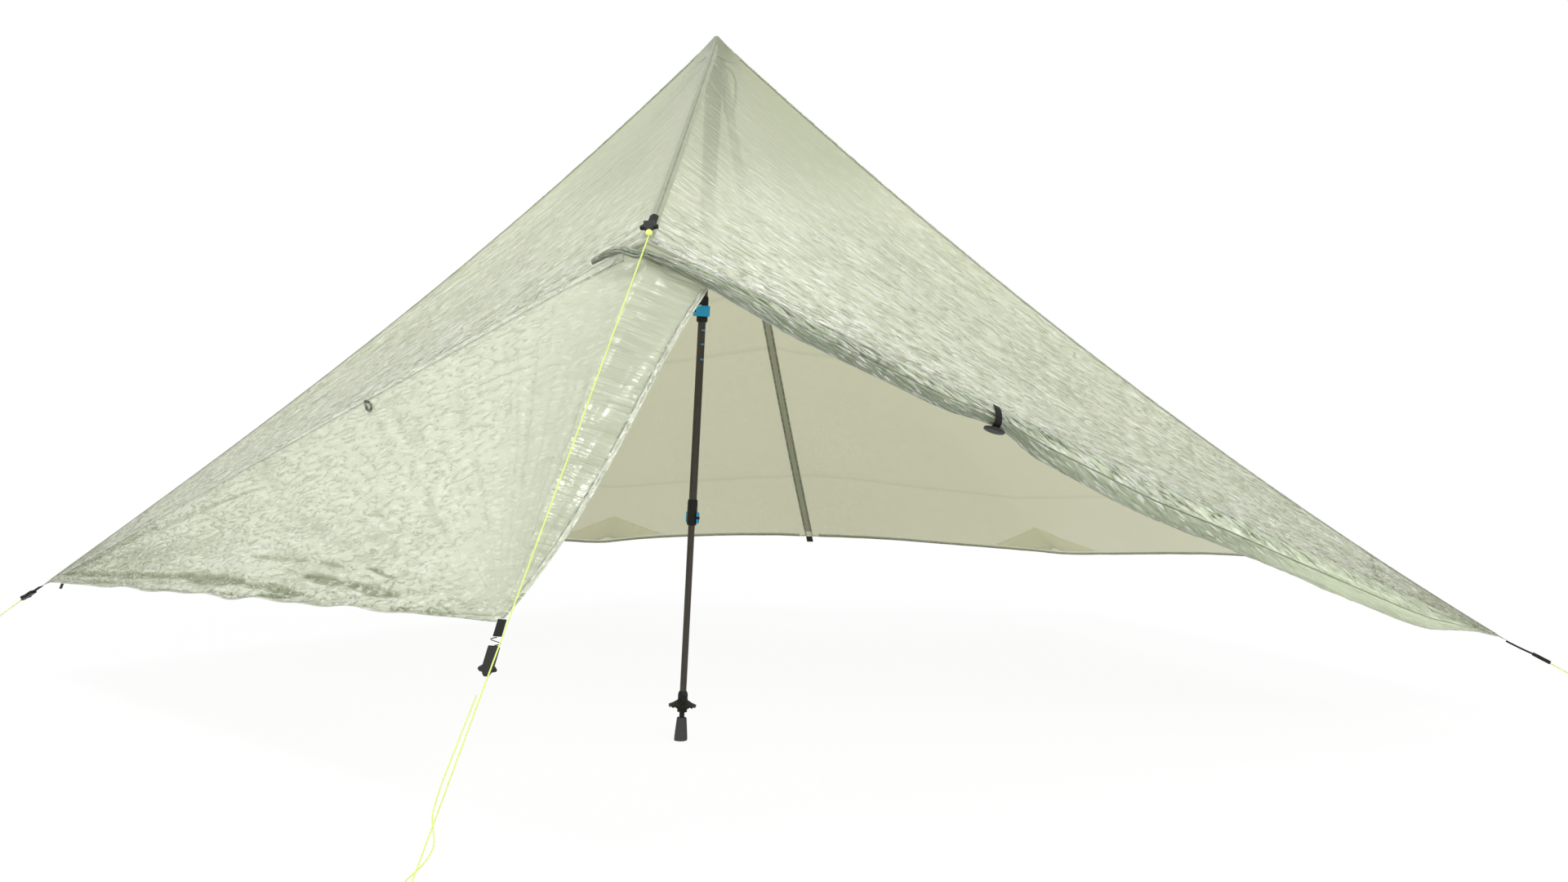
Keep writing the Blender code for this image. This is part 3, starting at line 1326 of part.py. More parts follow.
def build_grip(axis, paint):
    """The foam extension grip, the moulded grip above it and its domed head."""
    bore = UPPER_TUBE / 2 + GAP
    cap_bottom = GRIP_TOP - GRIP_CAP_HEIGHT
    foam = EXTENSION_GRIP_WIDTH / 2
    turned(
        "extension_grip",
        [
            (foam - 0.0025, EXTENSION_GRIP_TOP),
            (foam, EXTENSION_GRIP_TOP - 0.004),
            (foam - 0.0012, (EXTENSION_GRIP_TOP + EXTENSION_GRIP_BOTTOM) / 2),
            (foam, EXTENSION_GRIP_BOTTOM + 0.010),
            (foam - 0.0025, EXTENSION_GRIP_BOTTOM),
            (bore, EXTENSION_GRIP_BOTTOM),
            (bore, EXTENSION_GRIP_TOP),
        ],
        paint["foam"],
        axis,
        steps=20,
    )
    bottom = EXTENSION_GRIP_TOP + GAP
    turned(
        "pole_grip",
        [
            (GRIP_WIDTH / 2, cap_bottom - GAP),
            (GRIP_WIDTH / 2 - 0.001, cap_bottom - 0.020),
            (GRIP_NECK_WIDTH / 2, cap_bottom - 0.045),
            (GRIP_WIDTH / 2 - 0.0004, cap_bottom - 0.075),
            (GRIP_NECK_WIDTH / 2 + 0.0006, cap_bottom - 0.100),
            (GRIP_WIDTH / 2, bottom + 0.006),
            (GRIP_WIDTH / 2 - 0.002, bottom),
            (bore, bottom),
            (bore, cap_bottom - GAP),
        ],
        paint["grip"],
        axis,
        steps=20,
    )
    turned(
        "grip_cap",
        [
            (0.0, GRIP_TOP),
            (GRIP_HEAD / 2 * 0.48, GRIP_TOP - 0.0024),
            (GRIP_HEAD / 2 * 0.80, GRIP_TOP - 0.0085),
            (GRIP_HEAD / 2, GRIP_TOP - 0.0180),
            (GRIP_HEAD / 2 * 0.97, cap_bottom),
            (0.0, cap_bottom),
        ],
        paint["black_plastic"],
        axis,
        steps=20,
    )
    build_wrist_strap(cap_bottom, paint)


def build_wrist_strap(cap_bottom, paint):
    """A loop of wide webbing that hangs beside the grip from a stud in its head."""
    start = GRIP_WIDTH / 2 - STRAP_SEAT
    top = cap_bottom - STRAP_TOP
    local = [
        (start, top),
        (start + 0.30 * STRAP_REACH, top - 0.002),
        (start + 0.72 * STRAP_REACH, top - 0.012),
        (start + 0.96 * STRAP_REACH, top - 0.30 * STRAP_DROP),
        (start + STRAP_REACH, top - 0.60 * STRAP_DROP),
        (start + 0.86 * STRAP_REACH, top - 0.88 * STRAP_DROP),
        (start + 0.56 * STRAP_REACH, top - STRAP_DROP),
        (start + 0.30 * STRAP_REACH, top - 0.85 * STRAP_DROP),
        (start + 0.18 * STRAP_REACH, top - 0.55 * STRAP_DROP),
        (start + 0.10 * STRAP_REACH, top - 0.22 * STRAP_DROP),
    ]
    path = [pole_point(x, 0.0, level) for x, level in local]
    across = pole_point(0.0, 1.0, 0.0)
    strap("wrist_strap", path, across, STRAP_WIDTH, STRAP_THICKNESS, paint["webbing"], origin=tuple(path[0]))


def build_pole(paint):
    """The whole trekking pole, from its rubber foot to its grip."""
    axis = pole_parent()
    build_tip(axis, paint)
    build_tubes(axis, paint)
    lower = (LOWER_LEVER_RISE, LOWER_TUBE, MIDDLE_TUBE, LOWER_LEVER_FACING, LOWER_LEVER_REACH)
    upper = (UPPER_LEVER_RISE, MIDDLE_TUBE, UPPER_TUBE, UPPER_LEVER_FACING, UPPER_LEVER_REACH)
    build_lock(axis, "lower", LOWER_LOCK, *lower, paint)
    build_lock(axis, "upper", UPPER_LOCK, *upper, paint)
    build_grip(axis, paint)


def main():
    """Clears the scene and builds every piece."""
    for thing in list(bpy.data.objects):
        bpy.data.objects.remove(thing, do_unlink=True)
    paint = {
        "fabric": material("tarp_fabric", (0.66, 0.68, 0.54), 0.35),
        "seam": material("seam_tape", (0.52, 0.55, 0.43), 0.5),
        "roll": material("rolled_fabric", (0.48, 0.53, 0.41), 0.35),
        "webbing": material("black_webbing", (0.02, 0.02, 0.02), 0.8),
        "black_plastic": material("black_plastic", (0.02, 0.02, 0.019), 0.45),
        "blue_plastic": material("blue_plastic", (0.01, 0.25, 0.50), 0.4),
        "cord": material("lime_cord", (0.72, 0.90, 0.12), 0.6),
        "tube": material("pole_tube", (0.05, 0.042, 0.036), 0.35, 0.6),
        "steel": material("steel", (0.55, 0.55, 0.55), 0.3, 1.0),
        "rubber": material("rubber", (0.03, 0.03, 0.028), 0.85),
        "foam": material("grip_foam", (0.04, 0.04, 0.038), 0.9),
        "grip": material("grip_rubber", (0.03, 0.03, 0.03), 0.75),
    }
    front_left, front_right, left_line, right_line = build_canopy(paint)
    door = build_doors(paint, front_left, left_line, right_line)
    build_tieouts(paint, door)
    build_side_line("left", LEFT, LEFT_STAKE, LEFT_STRAP, paint)
    build_side_line("right", RIGHT_CORNER, RIGHT_STAKE, RIGHT_STRAP, paint)
    build_front_lines(paint, front_left, front_right)
    build_toggle(paint, left_line, right_line)
    build_left_loop(paint, door)
    build_pole(paint)


main()
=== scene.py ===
"""Looks for the pyramid tarp: crinkled translucent fabric, a rolled door, lime lines and a trekking pole.

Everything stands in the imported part's own frame, in metres: +X to the right corner, +Y to the rear, +Z up.
"""

import json
import math

import bmesh
import bpy
import numpy as np
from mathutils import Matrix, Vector


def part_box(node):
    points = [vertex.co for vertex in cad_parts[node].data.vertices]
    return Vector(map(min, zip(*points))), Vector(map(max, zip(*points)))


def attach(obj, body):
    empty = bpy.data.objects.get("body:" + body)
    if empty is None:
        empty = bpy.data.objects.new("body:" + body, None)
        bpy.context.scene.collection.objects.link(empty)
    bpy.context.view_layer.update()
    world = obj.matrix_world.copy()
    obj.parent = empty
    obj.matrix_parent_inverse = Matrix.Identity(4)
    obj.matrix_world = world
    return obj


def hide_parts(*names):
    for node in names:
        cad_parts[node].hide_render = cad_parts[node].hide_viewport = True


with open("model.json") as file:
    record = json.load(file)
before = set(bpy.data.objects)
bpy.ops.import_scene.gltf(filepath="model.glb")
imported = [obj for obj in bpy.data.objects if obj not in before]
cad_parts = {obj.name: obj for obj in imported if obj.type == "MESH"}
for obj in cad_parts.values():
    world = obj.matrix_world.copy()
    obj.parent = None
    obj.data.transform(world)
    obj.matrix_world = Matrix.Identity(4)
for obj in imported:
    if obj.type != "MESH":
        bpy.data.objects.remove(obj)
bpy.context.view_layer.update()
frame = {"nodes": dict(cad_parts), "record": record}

# The camera, fitted to the photograph
CAMERA_PLACE = (0.8356, -4.167, 1.0)
CAMERA_YAW = 8.842
CAMERA_PITCH = -6.203
LENS = 55.5
SENSOR = 36.0
VIEW_END = 50.0

# The door's slack line, point by point from its tensioner to its ground loop
DOOR_LINE_ROUTE = [
    (-0.1390, -0.8269, 0.2461),
    (-0.1459, -0.8529, 0.2168),
    (-0.1524, -0.8783, 0.1882),
    (-0.1579, -0.8989, 0.1650),
    (-0.1626, -0.9176, 0.1439),
    (-0.1648, -0.9315, 0.1283),
    (-0.1666, -0.9452, 0.1128),
    (-0.1655, -0.9554, 0.1013),
    (-0.1605, -0.9673, 0.0879),
    (-0.1565, -0.9783, 0.0756),
    (-0.1575, -0.9884, 0.0642),
    (-0.1643, -0.9992, 0.0520),
    (-0.1756, -1.0096, 0.0403),
    (-0.1864, -1.0191, 0.0296),
    (-0.1901, -1.0306, 0.0166),
]

# The pitched corners of the canopy, and a place under it
UP = np.array((0.0, 0.0, 1.0))
RIGHT = np.array((1.0, 0.0, 0.0))
PEAK = np.array((0.0526, 0.090, 1.250))
BEAK = np.array((0.0526, -0.520, 0.906))
LEFT = np.array((-1.3684, 0.326, 0.188))
RIGHT_CORNER = np.array((1.4736, 0.326, 0.161))
REAR = np.array((0.0526, 1.240, 0.187))
REAR_LEFT = np.array((-0.4454, 1.330, 0.147))
REAR_RIGHT = np.array((0.6206, 1.330, 0.147))
DOOR_CORNER = np.array((-0.1214, -0.740, 0.3455))
INSIDE = np.array((0.0526, 0.290, 0.375))

# How each edge hangs and each panel dips
FRONT_RIDGE_SAG = 0.004
LEFT_RIDGE_SAG = 0.041
LEFT_RIDGE_SKEW = -0.35
RIGHT_RIDGE_SAG = 0.056
REAR_RIDGE_SAG = 0.030
LEFT_DOOR_LINE_RISE = 0.004
RIGHT_DOOR_LINE_SAG = 0.008
SIDE_HEM_RISE = 0.070
SIDE_HEM_SKEW = 0.55
REAR_HEM_RISE = 0.006
FRONT_PANEL_DIP = 0.022
REAR_PANEL_DIP = 0.030

# Hems, tapes, stitches and cord
HEM = 0.011
STRIP_LIFT = 0.0008
WIDE_TAPE = 0.0070
SEAM_LINE = 0.0036
SEAM_LINE_HALF = 0.0011
SEAM_ZONE = 0.0048
HEM_STITCH = 0.0020
CORD = 0.0022

# What a finish reads at each point: metres to the seam, the painted shade called tone, how sheer and how
# crumpled
PLAIN_FIELDS = (("seam", 1.0), ("tone", 0.0), ("sheer", 0.0), ("rough", 1.0))


# Small tools
def placed(name, data):
    """A new object in the scene."""
    made = bpy.data.objects.new(name, data)
    bpy.context.scene.collection.objects.link(made)
    return made


def unit(vector):
    """Vectors made one metre long."""
    vector = np.asarray(vector, float)
    return vector / np.linalg.norm(vector, axis=-1, keepdims=True)


def length(vector):
    """The length of a vector, or of each vector in an array."""
    return np.linalg.norm(vector, axis=-1 if np.ndim(vector) > 1 else None)


def walked(points):
    """The distance walked along a row of points, at each of them."""
    return np.concatenate([[0.0], np.cumsum(length(np.diff(points, axis=0)))])


def mix(a, b, share):
    """A value part of the way from one to another, for one share or an array of them."""
    share = np.asarray(share, float)
    if np.ndim(a) > 0 or np.ndim(b) > 0:
        share = share[..., None]
    return a * (1.0 - share) + b * share


def eased(share):
    """A share held between 0 and 1, easing in and out."""
    share = np.clip(share, 0.0, 1.0)
    return share * share * (3.0 - 2.0 * share)


def bell(value, middle, half):
    """A soft bump: 1 at the middle, and a third at half its width from there."""
    return np.exp(-(((value - middle) / half) ** 2))


def turn(sides):
    """Angles once round."""
    return np.linspace(0.0, 2.0 * np.pi, sides, endpoint=False)


def ring(angles, first, second):
    """Directions at these angles from the first of two directions towards the second."""
    return np.outer(np.cos(angles), first) + np.outer(np.sin(angles), second)


# Large whole numbers that scatter a column, a row, a seed and what they make
SCATTER = (374761393, 668265263, 974634777, 1274126177)


def lattice(x, y, seed):
    """Random values from -1 to 1, the same for the same whole numbers and seed."""
    mixed = (x * SCATTER[0] + y * SCATTER[1] + seed * SCATTER[2]) & 0xFFFFFFFF
    mixed = ((mixed ^ (mixed >> 13)) * SCATTER[3]) & 0xFFFFFFFF
    mixed = mixed ^ (mixed >> 16)
    return (mixed & 0xFFFF) / 32767.5 - 1.0


def noise(x, y, seed):
    """Smooth random values over a plane, one wave to a unit."""
    column = np.floor(x).astype(np.int64)
    row = np.floor(y).astype(np.int64)
    right, up = (
        share * share * share * (share * (6.0 * share - 15.0) + 10.0)
        for share in (x - column, y - row)
    )
    low, high = (
        lattice(column, level, seed) * (1.0 - right) + lattice(column + 1, level, seed) * right
        for level in (row, row + 1)
    )
    return low * (1.0 - up) + high * up


# Each layer of creases is finer, fainter and shifted against the one before
LAYER_FINER = 1.9
LAYER_FAINTER = 0.52
LAYER_SHIFT = (5.3, 2.7)
LAYER_SEED = 17
CREASE_MEAN = 0.7


def crumple(x, y, seed, layers=4):
    """Creased random values, with sharp folds between flatter facets."""
    total = np.zeros(np.broadcast(x, y).shape)
    size = 1.0
    for layer in range(layers):
        total += size * (CREASE_MEAN - 2.0 * np.abs(noise(x, y, seed + LAYER_SEED * layer)))
        x = x * LAYER_FINER + LAYER_SHIFT[0]
        y = y * LAYER_FINER + LAYER_SHIFT[1]
        size *= LAYER_FAINTER
    return total / 2.0


def crinkle(along, across, folds, seed, layers=4):
    """Creases over a cloth: folds says how many fit in a unit along and across, and how deep they are."""
    return crumple(along * folds[0], across * folds[1], seed, layers) * folds[2]


def shade_smooth(mesh):
    """Rounds a mesh's shading."""
    mesh.polygons.foreach_set("use_smooth", [True] * len(mesh.polygons))


def grid_object(name, points, finish, cloth, closed=False, body="tarp", **fields):
    """A mesh from a grid of points, with its cloth coordinates and the fields that its finish reads."""
    rows, columns = points.shape[:2]
    index = np.arange(rows * columns).reshape(rows, columns)
    if closed:
        index = np.concatenate([index, index[:, :1]], axis=1)
    corners = [index[:-1, :-1], index[1:, :-1], index[1:, 1:], index[:-1, 1:]]
    faces = np.stack([corner.ravel() for corner in corners], axis=1)
    mesh = bpy.data.meshes.new(name)
    mesh.from_pydata(points.reshape(-1, 3).tolist(), [], faces.tolist())
    mesh.update()
    shade_smooth(mesh)
    layer = mesh.attributes.new("cloth", "FLOAT_VECTOR", "POINT")
    flat = np.zeros((rows * columns, 3), np.float32)
    flat[:, :2] = cloth.reshape(-1, 2)
    layer.data.foreach_set("vector", flat.ravel())
    for title, plain in PLAIN_FIELDS:
        layer = mesh.attributes.new(title, "FLOAT", "POINT")
        values = np.broadcast_to(np.asarray(fields.get(title, plain), float), (rows, columns)).ravel()
        layer.data.foreach_set("value", values.astype(np.float32))
    mesh.materials.append(finish)
    made = placed(name, mesh)
    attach(made, body)
    return made


def laid_out(along, across):
    """Cloth coordinates of a grid, from metres along its rows and across its columns."""
    return np.stack(np.broadcast_arrays(along[:, None], across[None, :]), axis=-1)


def stand_in(made, slot, *nodes):
    """Hides the CAD nodes that a piece is seen instead of; the material slot is not used."""
    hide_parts(*nodes)
    return made


def grid_normals(points):
    """The surface normal at every point of a grid."""
    along = np.gradient(points, axis=0)
    across = np.gradient(points, axis=1)
    normal = np.cross(across, along)
    size = np.linalg.norm(normal, axis=-1, keepdims=True)
    return normal / np.maximum(size, 1e-12)


def tube(name, points, radius, finish, sides):
    """A round capped cord along a smooth route, with its length and way round as cloth coordinates."""
    points = np.asarray(points, float)
    tangents = unit(np.gradient(points, axis=0))
    side = unit(np.cross(tangents[0], UP + RIGHT * 0.3))
    angles = turn(sides)
    rings = []
    for place, tangent in zip(points, tangents):
        side = unit(side - tangent * np.dot(side, tangent))
        rings.append(place + radius * ring(angles, side, np.cross(tangent, side)))
    cloth = laid_out(walked(points), angles * radius)
    made = grid_object(name, np.array(rings), finish, cloth, closed=True)
    close_ends(made, sides)
    return made


def close_ends(made, sides):
    """Caps the two open ends of a tube."""
    shape = bmesh.new()
    shape.from_mesh(made.data)
    shape.verts.ensure_lookup_table()
    count = len(shape.verts)
    for order in (range(sides), range(count - 1, count - 1 - sides, -1)):
        shape.faces.new([shape.verts[index] for index in order])
    shape.to_mesh(made.data)
    shape.free()


def smooth_route(points, count):
    """Points evenly spread along the smooth curve through the given ones."""
    points = [np.asarray(point, float) for point in points]
    ends = [2 * points[0] - points[1]] + points + [2 * points[-1] - points[-2]]
    dense = []
    for a, b, c, d in zip(ends, ends[1:], ends[2:], ends[3:]):
        square = 2 * a - 5 * b + 4 * c - d
        cube = 3 * b - a - 3 * c + d
        for t in np.linspace(0.0, 1.0, 24, endpoint=False):
            dense.append(0.5 * (2 * b + (c - a) * t + square * t**2 + cube * t**3))
    dense = np.array(dense + [points[-1]])
    passed = walked(dense)
    wanted = np.linspace(0.0, passed[-1], count)
    return np.stack([np.interp(wanted, passed, dense[:, axis]) for axis in range(3)], axis=1)


# Camera
def set_camera():
    """The camera of the photograph."""
    camera = placed("camera", bpy.data.cameras.new("camera"))
    camera.location = CAMERA_PLACE
    camera.rotation_euler = (math.radians(90.0 + CAMERA_PITCH), 0.0, math.radians(CAMERA_YAW))
    camera.data.lens = LENS
    camera.data.sensor_width = SENSOR
    camera.data.clip_end = VIEW_END
    bpy.context.scene.camera = camera


# Materials
class Shader:
    """The node tree of a material or world, with short ways to add and link nodes."""

    def __init__(self, owner):
        self.owner = owner
        self.owner.use_nodes = True
        self.tree = owner.node_tree
        self.tree.nodes.clear()

    def add(self, kind, inputs=None, **settings):
        node = self.tree.nodes.new("ShaderNode" + kind)
        for key, value in settings.items():
            setattr(node, key, value)
        for key, value in (inputs or {}).items():
            if isinstance(value, bpy.types.NodeSocket):
                self.tree.links.new(value, node.inputs[key])
            else:
                node.inputs[key].default_value = value
        return node

    def field(self, name, kind="Fac"):
        return self.add("Attribute", attribute_name=name).outputs[kind]

    def math(self, operation, first, second=0.0, third=0.0):
        return self.add("Math", {0: first, 1: second, 2: third}, operation=operation).outputs[0]

    def times(self, first, second):
        return self.math("MULTIPLY", first, second)

    def vector(self, operation, first, second):
        node = self.add("VectorMath", {0: first, 1: second}, operation=operation)
        return node.outputs["Value" if operation == "DOT_PRODUCT" else "Vector"]

    def noise(self, vector, waves, detail):
        return self.add("TexNoise", {"Vector": vector, "Scale": waves, "Detail": detail}).outputs

    def ranged(self, value, low, high, to_low=0.0, to_high=1.0, **settings):
        inputs = {"Value": value, "From Min": low, "From Max": high, "To Min": to_low, "To Max": to_high}
        return self.add("MapRange", inputs, **settings).outputs[0]

    def bump(self, height, distance, strength=1.0, **normal):
        inputs = {"Height": height, "Distance": distance, "Strength": strength}
        return self.add("Bump", {**inputs, **normal}).outputs[0]

    def mixed(self, share, first, second):
        first, second = ((*value, 1.0) if isinstance(value, tuple) else value for value in (first, second))
        return self.add("Mix", {0: share, 6: first, 7: second}, data_type="RGBA").outputs[2]

    def blend(self, share, first, second):
        return self.add("MixShader", {0: share, 1: first, 2: second}).outputs[0]

    def looked_at(self):
        """1 where the eye, a reflection or a clear piece looks at it, and 0 where it lights the object."""
        path = self.add("LightPath").outputs
        seen = self.math("MAXIMUM", path["Is Camera Ray"], path["Is Glossy Ray"])
        return self.math("MAXIMUM", seen, path["Is Transmission Ray"])

    def principled(self, colour, roughness, normal, **settings):
        inputs = {"Base Color": colour, "Roughness": roughness, "Normal": normal}
        inputs.update({key.replace("_", " "): value for key, value in settings.items()})
        return self.add("BsdfPrincipled", inputs).outputs[0]

    def finish(self, surface, kind="Material"):
        self.add("Output" + kind, {"Surface": surface})
        return self.owner


# The crinkle that a cloth finish draws: waves to a metre, depths in metres, and shares of painted shade in
# the creases and threads
SWIRL_WAVES = 30.0
SWIRL = 0.020
RIDGES = {"Scale": 1.0, "Detail": 5.0, "Roughness": 0.60, "Lacunarity": 2.1, "Offset": 0.9, "Gain": 1.6}
RIDGE_WAVES = 11.0
RIDGE_DEPTH = -0.0022
RIDGE_SHOWS = (1.10, 1.85)
RIDGE_SHADE = 0.80
FACET_WAVES = 50.0
FACET_DEPTH = 0.0036
FACET_ROUND = -0.9
WEAVE = {"Scale": 120.0, "Distortion": 5.0, "Detail": 2.0, "Detail Scale": 1.5}
WEAVE_DEPTH = 0.0005
WEAVE_SHADE = 0.15

# Its painted glints, a light colour mixed in: where bands of them run, and which facets lean to the light
BAND_WAVES = (2.4, 9.0)
BAND_SHOWS = (0.50, 0.72)
BAND_SHARE = 0.30
GLINT_LEAN = (0.45, 0.90, 0.0)
GLINT_SHOWS = (0.14, 0.50)
GLINT_SHARE = 0.55
GLINT_COLOUR = (0.90, 0.92, 0.83)

# Its stitches, in uneven dashes on a faintly darker strip
DASH_WAVES = 90.0
DASH_SHOWS = (0.44, 0.56, 0.7)
STRIP_SHADE = 0.22
THREAD_COLOUR = (0.10, 0.115, 0.075)


def cloth_material(
    name, colour, dark, fold, facets,
    clear=0.45, mark=0.6, weave=0.0, thin=3.0, fine=1.0, glint=0.0, sheer=False,
):
    """Thin laminate: light comes through, fine creases get painted shade and painted glints, and stitching
    shows as lines.
    """
    shader = Shader(bpy.data.materials.new(name))
    cloth = shader.field("cloth", "Vector")
    seam = shader.field("seam")
    tone = shader.field("tone")
    rough = shader.field("rough")
    swirl = shader.noise(cloth, SWIRL_WAVES, 2.0)["Color"]
    bent = shader.vector("ADD", cloth, shader.vector("MULTIPLY", swirl, (SWIRL, SWIRL / thin, 0.0)))
    waves = RIDGE_WAVES * fine
    inputs = {"Vector": shader.vector("MULTIPLY", bent, (waves, waves * thin, 1.0)), **RIDGES}
    ridges = shader.add("TexNoise", inputs, noise_type="RIDGED_MULTIFRACTAL").outputs["Fac"]
    waves = FACET_WAVES * fine
    place = shader.vector("MULTIPLY", bent, (waves, waves * thin, 1.0))
    cells = shader.add("TexVoronoi", {"Vector": place, "Scale": 1.0}, feature="F1").outputs
    tilt = shader.vector("SUBTRACT", cells["Color"], (0.5, 0.5, 0.5))
    facet = shader.vector("DOT_PRODUCT", tilt, shader.vector("SUBTRACT", place, cells["Position"]))
    facet = shader.times(facet, shader.math("MULTIPLY_ADD", cells["Distance"], FACET_ROUND, 1.0))
    height = shader.times(ridges, RIDGE_DEPTH * fold)
    height = shader.math("MULTIPLY_ADD", facet, FACET_DEPTH * facets, height)
    height = shader.times(height, rough)
    # Painted shade: colour darkened along the crease lines, more where the cloth is crumpled
    folded = shader.times(shader.ranged(ridges, *RIDGE_SHOWS), shader.times(rough, RIDGE_SHADE * fold))
    if weave > 0.0:
        for direction in ("X", "Y"):
            thread = shader.add("TexWave", {"Vector": cloth, **WEAVE}, bands_direction=direction)
            thread = thread.outputs["Fac"]
            height = shader.math("MULTIPLY_ADD", thread, WEAVE_DEPTH * weave, height)
            folded = shader.math("MULTIPLY_ADD", thread, WEAVE_SHADE * weave, folded)
    normal = shader.bump(height, 1.0)
    # Painted shade: the creases and the tone field mix the colour towards its shade colour
    paint = shader.mixed(shader.math("MAXIMUM", folded, tone), colour, dark)
    # Painted highlights: glints mixed into the colour on bands and on facets that lean one way
    if glint > 0.0:
        bands = shader.vector("MULTIPLY", bent, (BAND_WAVES[0], BAND_WAVES[1] * thin, 1.0))
        bands = shader.ranged(shader.noise(bands, 1.0, 3.0)["Fac"], *BAND_SHOWS)
        bright = shader.ranged(shader.vector("DOT_PRODUCT", tilt, GLINT_LEAN), *GLINT_SHOWS)
        bright = shader.math("MULTIPLY_ADD", bands, BAND_SHARE, bright)
        bright = shader.times(bright, shader.times(rough, GLINT_SHARE * glint))
        paint = shader.mixed(bright, paint, GLINT_COLOUR)
    dashes = shader.ranged(shader.noise(cloth, DASH_WAVES, 1.0)["Fac"], *DASH_SHOWS)
    line = shader.times(shader.math("COMPARE", seam, SEAM_LINE, SEAM_LINE_HALF), dashes)
    strip = shader.times(shader.math("LESS_THAN", seam, SEAM_ZONE), STRIP_SHADE)
    paint = shader.mixed(shader.times(shader.math("MAXIMUM", line, strip), mark), paint, THREAD_COLOUR)
    coat = 0.15 if weave > 0.0 else 1.0
    gloss = {"Specular_IOR_Level": 0.6, "Coat_Weight": coat, "Coat_Roughness": 0.09, "Coat_IOR": 1.7}
    surface = shader.principled(paint, 0.36, normal, Coat_Normal=normal, **gloss)
    through = shader.add("BsdfTranslucent", {"Color": paint, "Normal": normal}).outputs[0]
    both = shader.blend(clear, surface, through)
    if sheer:
        both = shader.blend(shader.field("sheer"), both, shader.add("BsdfTransparent").outputs[0])
    return shader.finish(both)


# The cord's braid: its radians to a metre of cord, strands round it, their depth, and where the flecks start
BRAID_ALONG = 4200.0
BRAID_ROUND = 6.0
BRAID_DEPTH = 0.0002
FLECK_FROM = 0.86


def cord_material(name, colour, flecks):
    """Braided cord: two crossing sets of strands, with flecks of a second colour."""
    shader = Shader(bpy.data.materials.new(name))
    parts = shader.add("SeparateXYZ", {0: shader.field("cloth", "Vector")}).outputs
    strands = []
    for lean in (BRAID_ROUND, -BRAID_ROUND):
        along = shader.times(parts[0], BRAID_ALONG)
        phase = shader.math("ADD", along, shader.times(parts[1], lean * 2.0 / CORD))
        strands.append(shader.math("SINE", phase))
    normal = shader.bump(shader.math("MAXIMUM", *strands), BRAID_DEPTH, 0.8)
    tone = shader.mixed(shader.math("GREATER_THAN", strands[0], FLECK_FROM), colour, flecks)
    return shader.finish(shader.principled(tone, 0.55, normal))


def plain_material(name, colour, roughness, metallic=0.0, gloss=0.5, grain=400.0, depth=0.0001, ribs=None):
    """A solid finish with a fine grain, and optional ribs along one axis."""
    shader = Shader(bpy.data.materials.new(name))
    place = shader.add("TexCoord").outputs["Object"]
    speckle = shader.noise(place, grain, 4.0)["Fac"]
    normal = shader.bump(speckle, depth)
    if ribs:
        direction, waves, rib_depth = ribs
        inputs = {"Vector": place, "Scale": waves, "Distortion": 0.0}
        wave = shader.add("TexWave", inputs, bands_direction=direction).outputs["Fac"]
        normal = shader.bump(wave, rib_depth, Normal=normal)
    lighter = tuple(min(1.0, value * 1.35 + 0.004) for value in colour)
    tone = shader.mixed(shader.times(speckle, 0.6), colour, lighter)
    surface = shader.principled(tone, roughness, normal, Metallic=metallic, Specular_IOR_Level=gloss)
    return shader.finish(surface)


# The cloth finishes: colour, and the colour that painted shade in the creases and hollows goes to, then the
# depth of the creases, which also sets their painted shade, and that of the facets
CLOTHS = {
    "front": ((0.66, 0.695, 0.525), (0.33, 0.37, 0.235), 1.5, 1.2),
    # The rear's colour is darker than the front's: painted shade inside the canopy
    "rear": ((0.545, 0.545, 0.40), (0.43, 0.44, 0.31), 0.10, 0.15),
    "door": ((0.68, 0.715, 0.565), (0.24, 0.28, 0.155), 1.3, 1.1),
    "roll": ((0.61, 0.685, 0.47), (0.08, 0.125, 0.04), 1.4, 1.2),
    "seam": ((0.43, 0.47, 0.32), (0.22, 0.25, 0.15), 0.3, 0.3),
    "edge": ((0.61, 0.645, 0.50), (0.28, 0.32, 0.19), 1.0, 1.0),
    # The patch's colour is lighter than the rear's: painted light that offsets the shade of the doubled cloth
    "patch": ((0.92, 0.92, 0.74), (0.82, 0.82, 0.65), 0.05, 0.05),
}
CLOTHS_MORE = {
    "front": {"thin": 5.0, "fine": 1.6, "glint": 1.8, "sheer": True},
    "rear": {"mark": 0.8, "weave": 0.8},
    "door": {"fine": 2.7, "glint": 1.3, "sheer": True},
    "roll": {"clear": 0.2, "thin": 8.0, "fine": 1.2, "glint": 1.4},
    "seam": {"clear": 0.4, "mark": 0.65},
    "edge": {"clear": 0.15, "mark": 0.65, "fine": 2.0, "glint": 0.6},
    "patch": {"clear": 0.55, "mark": 0.15, "weave": 0.8},
}

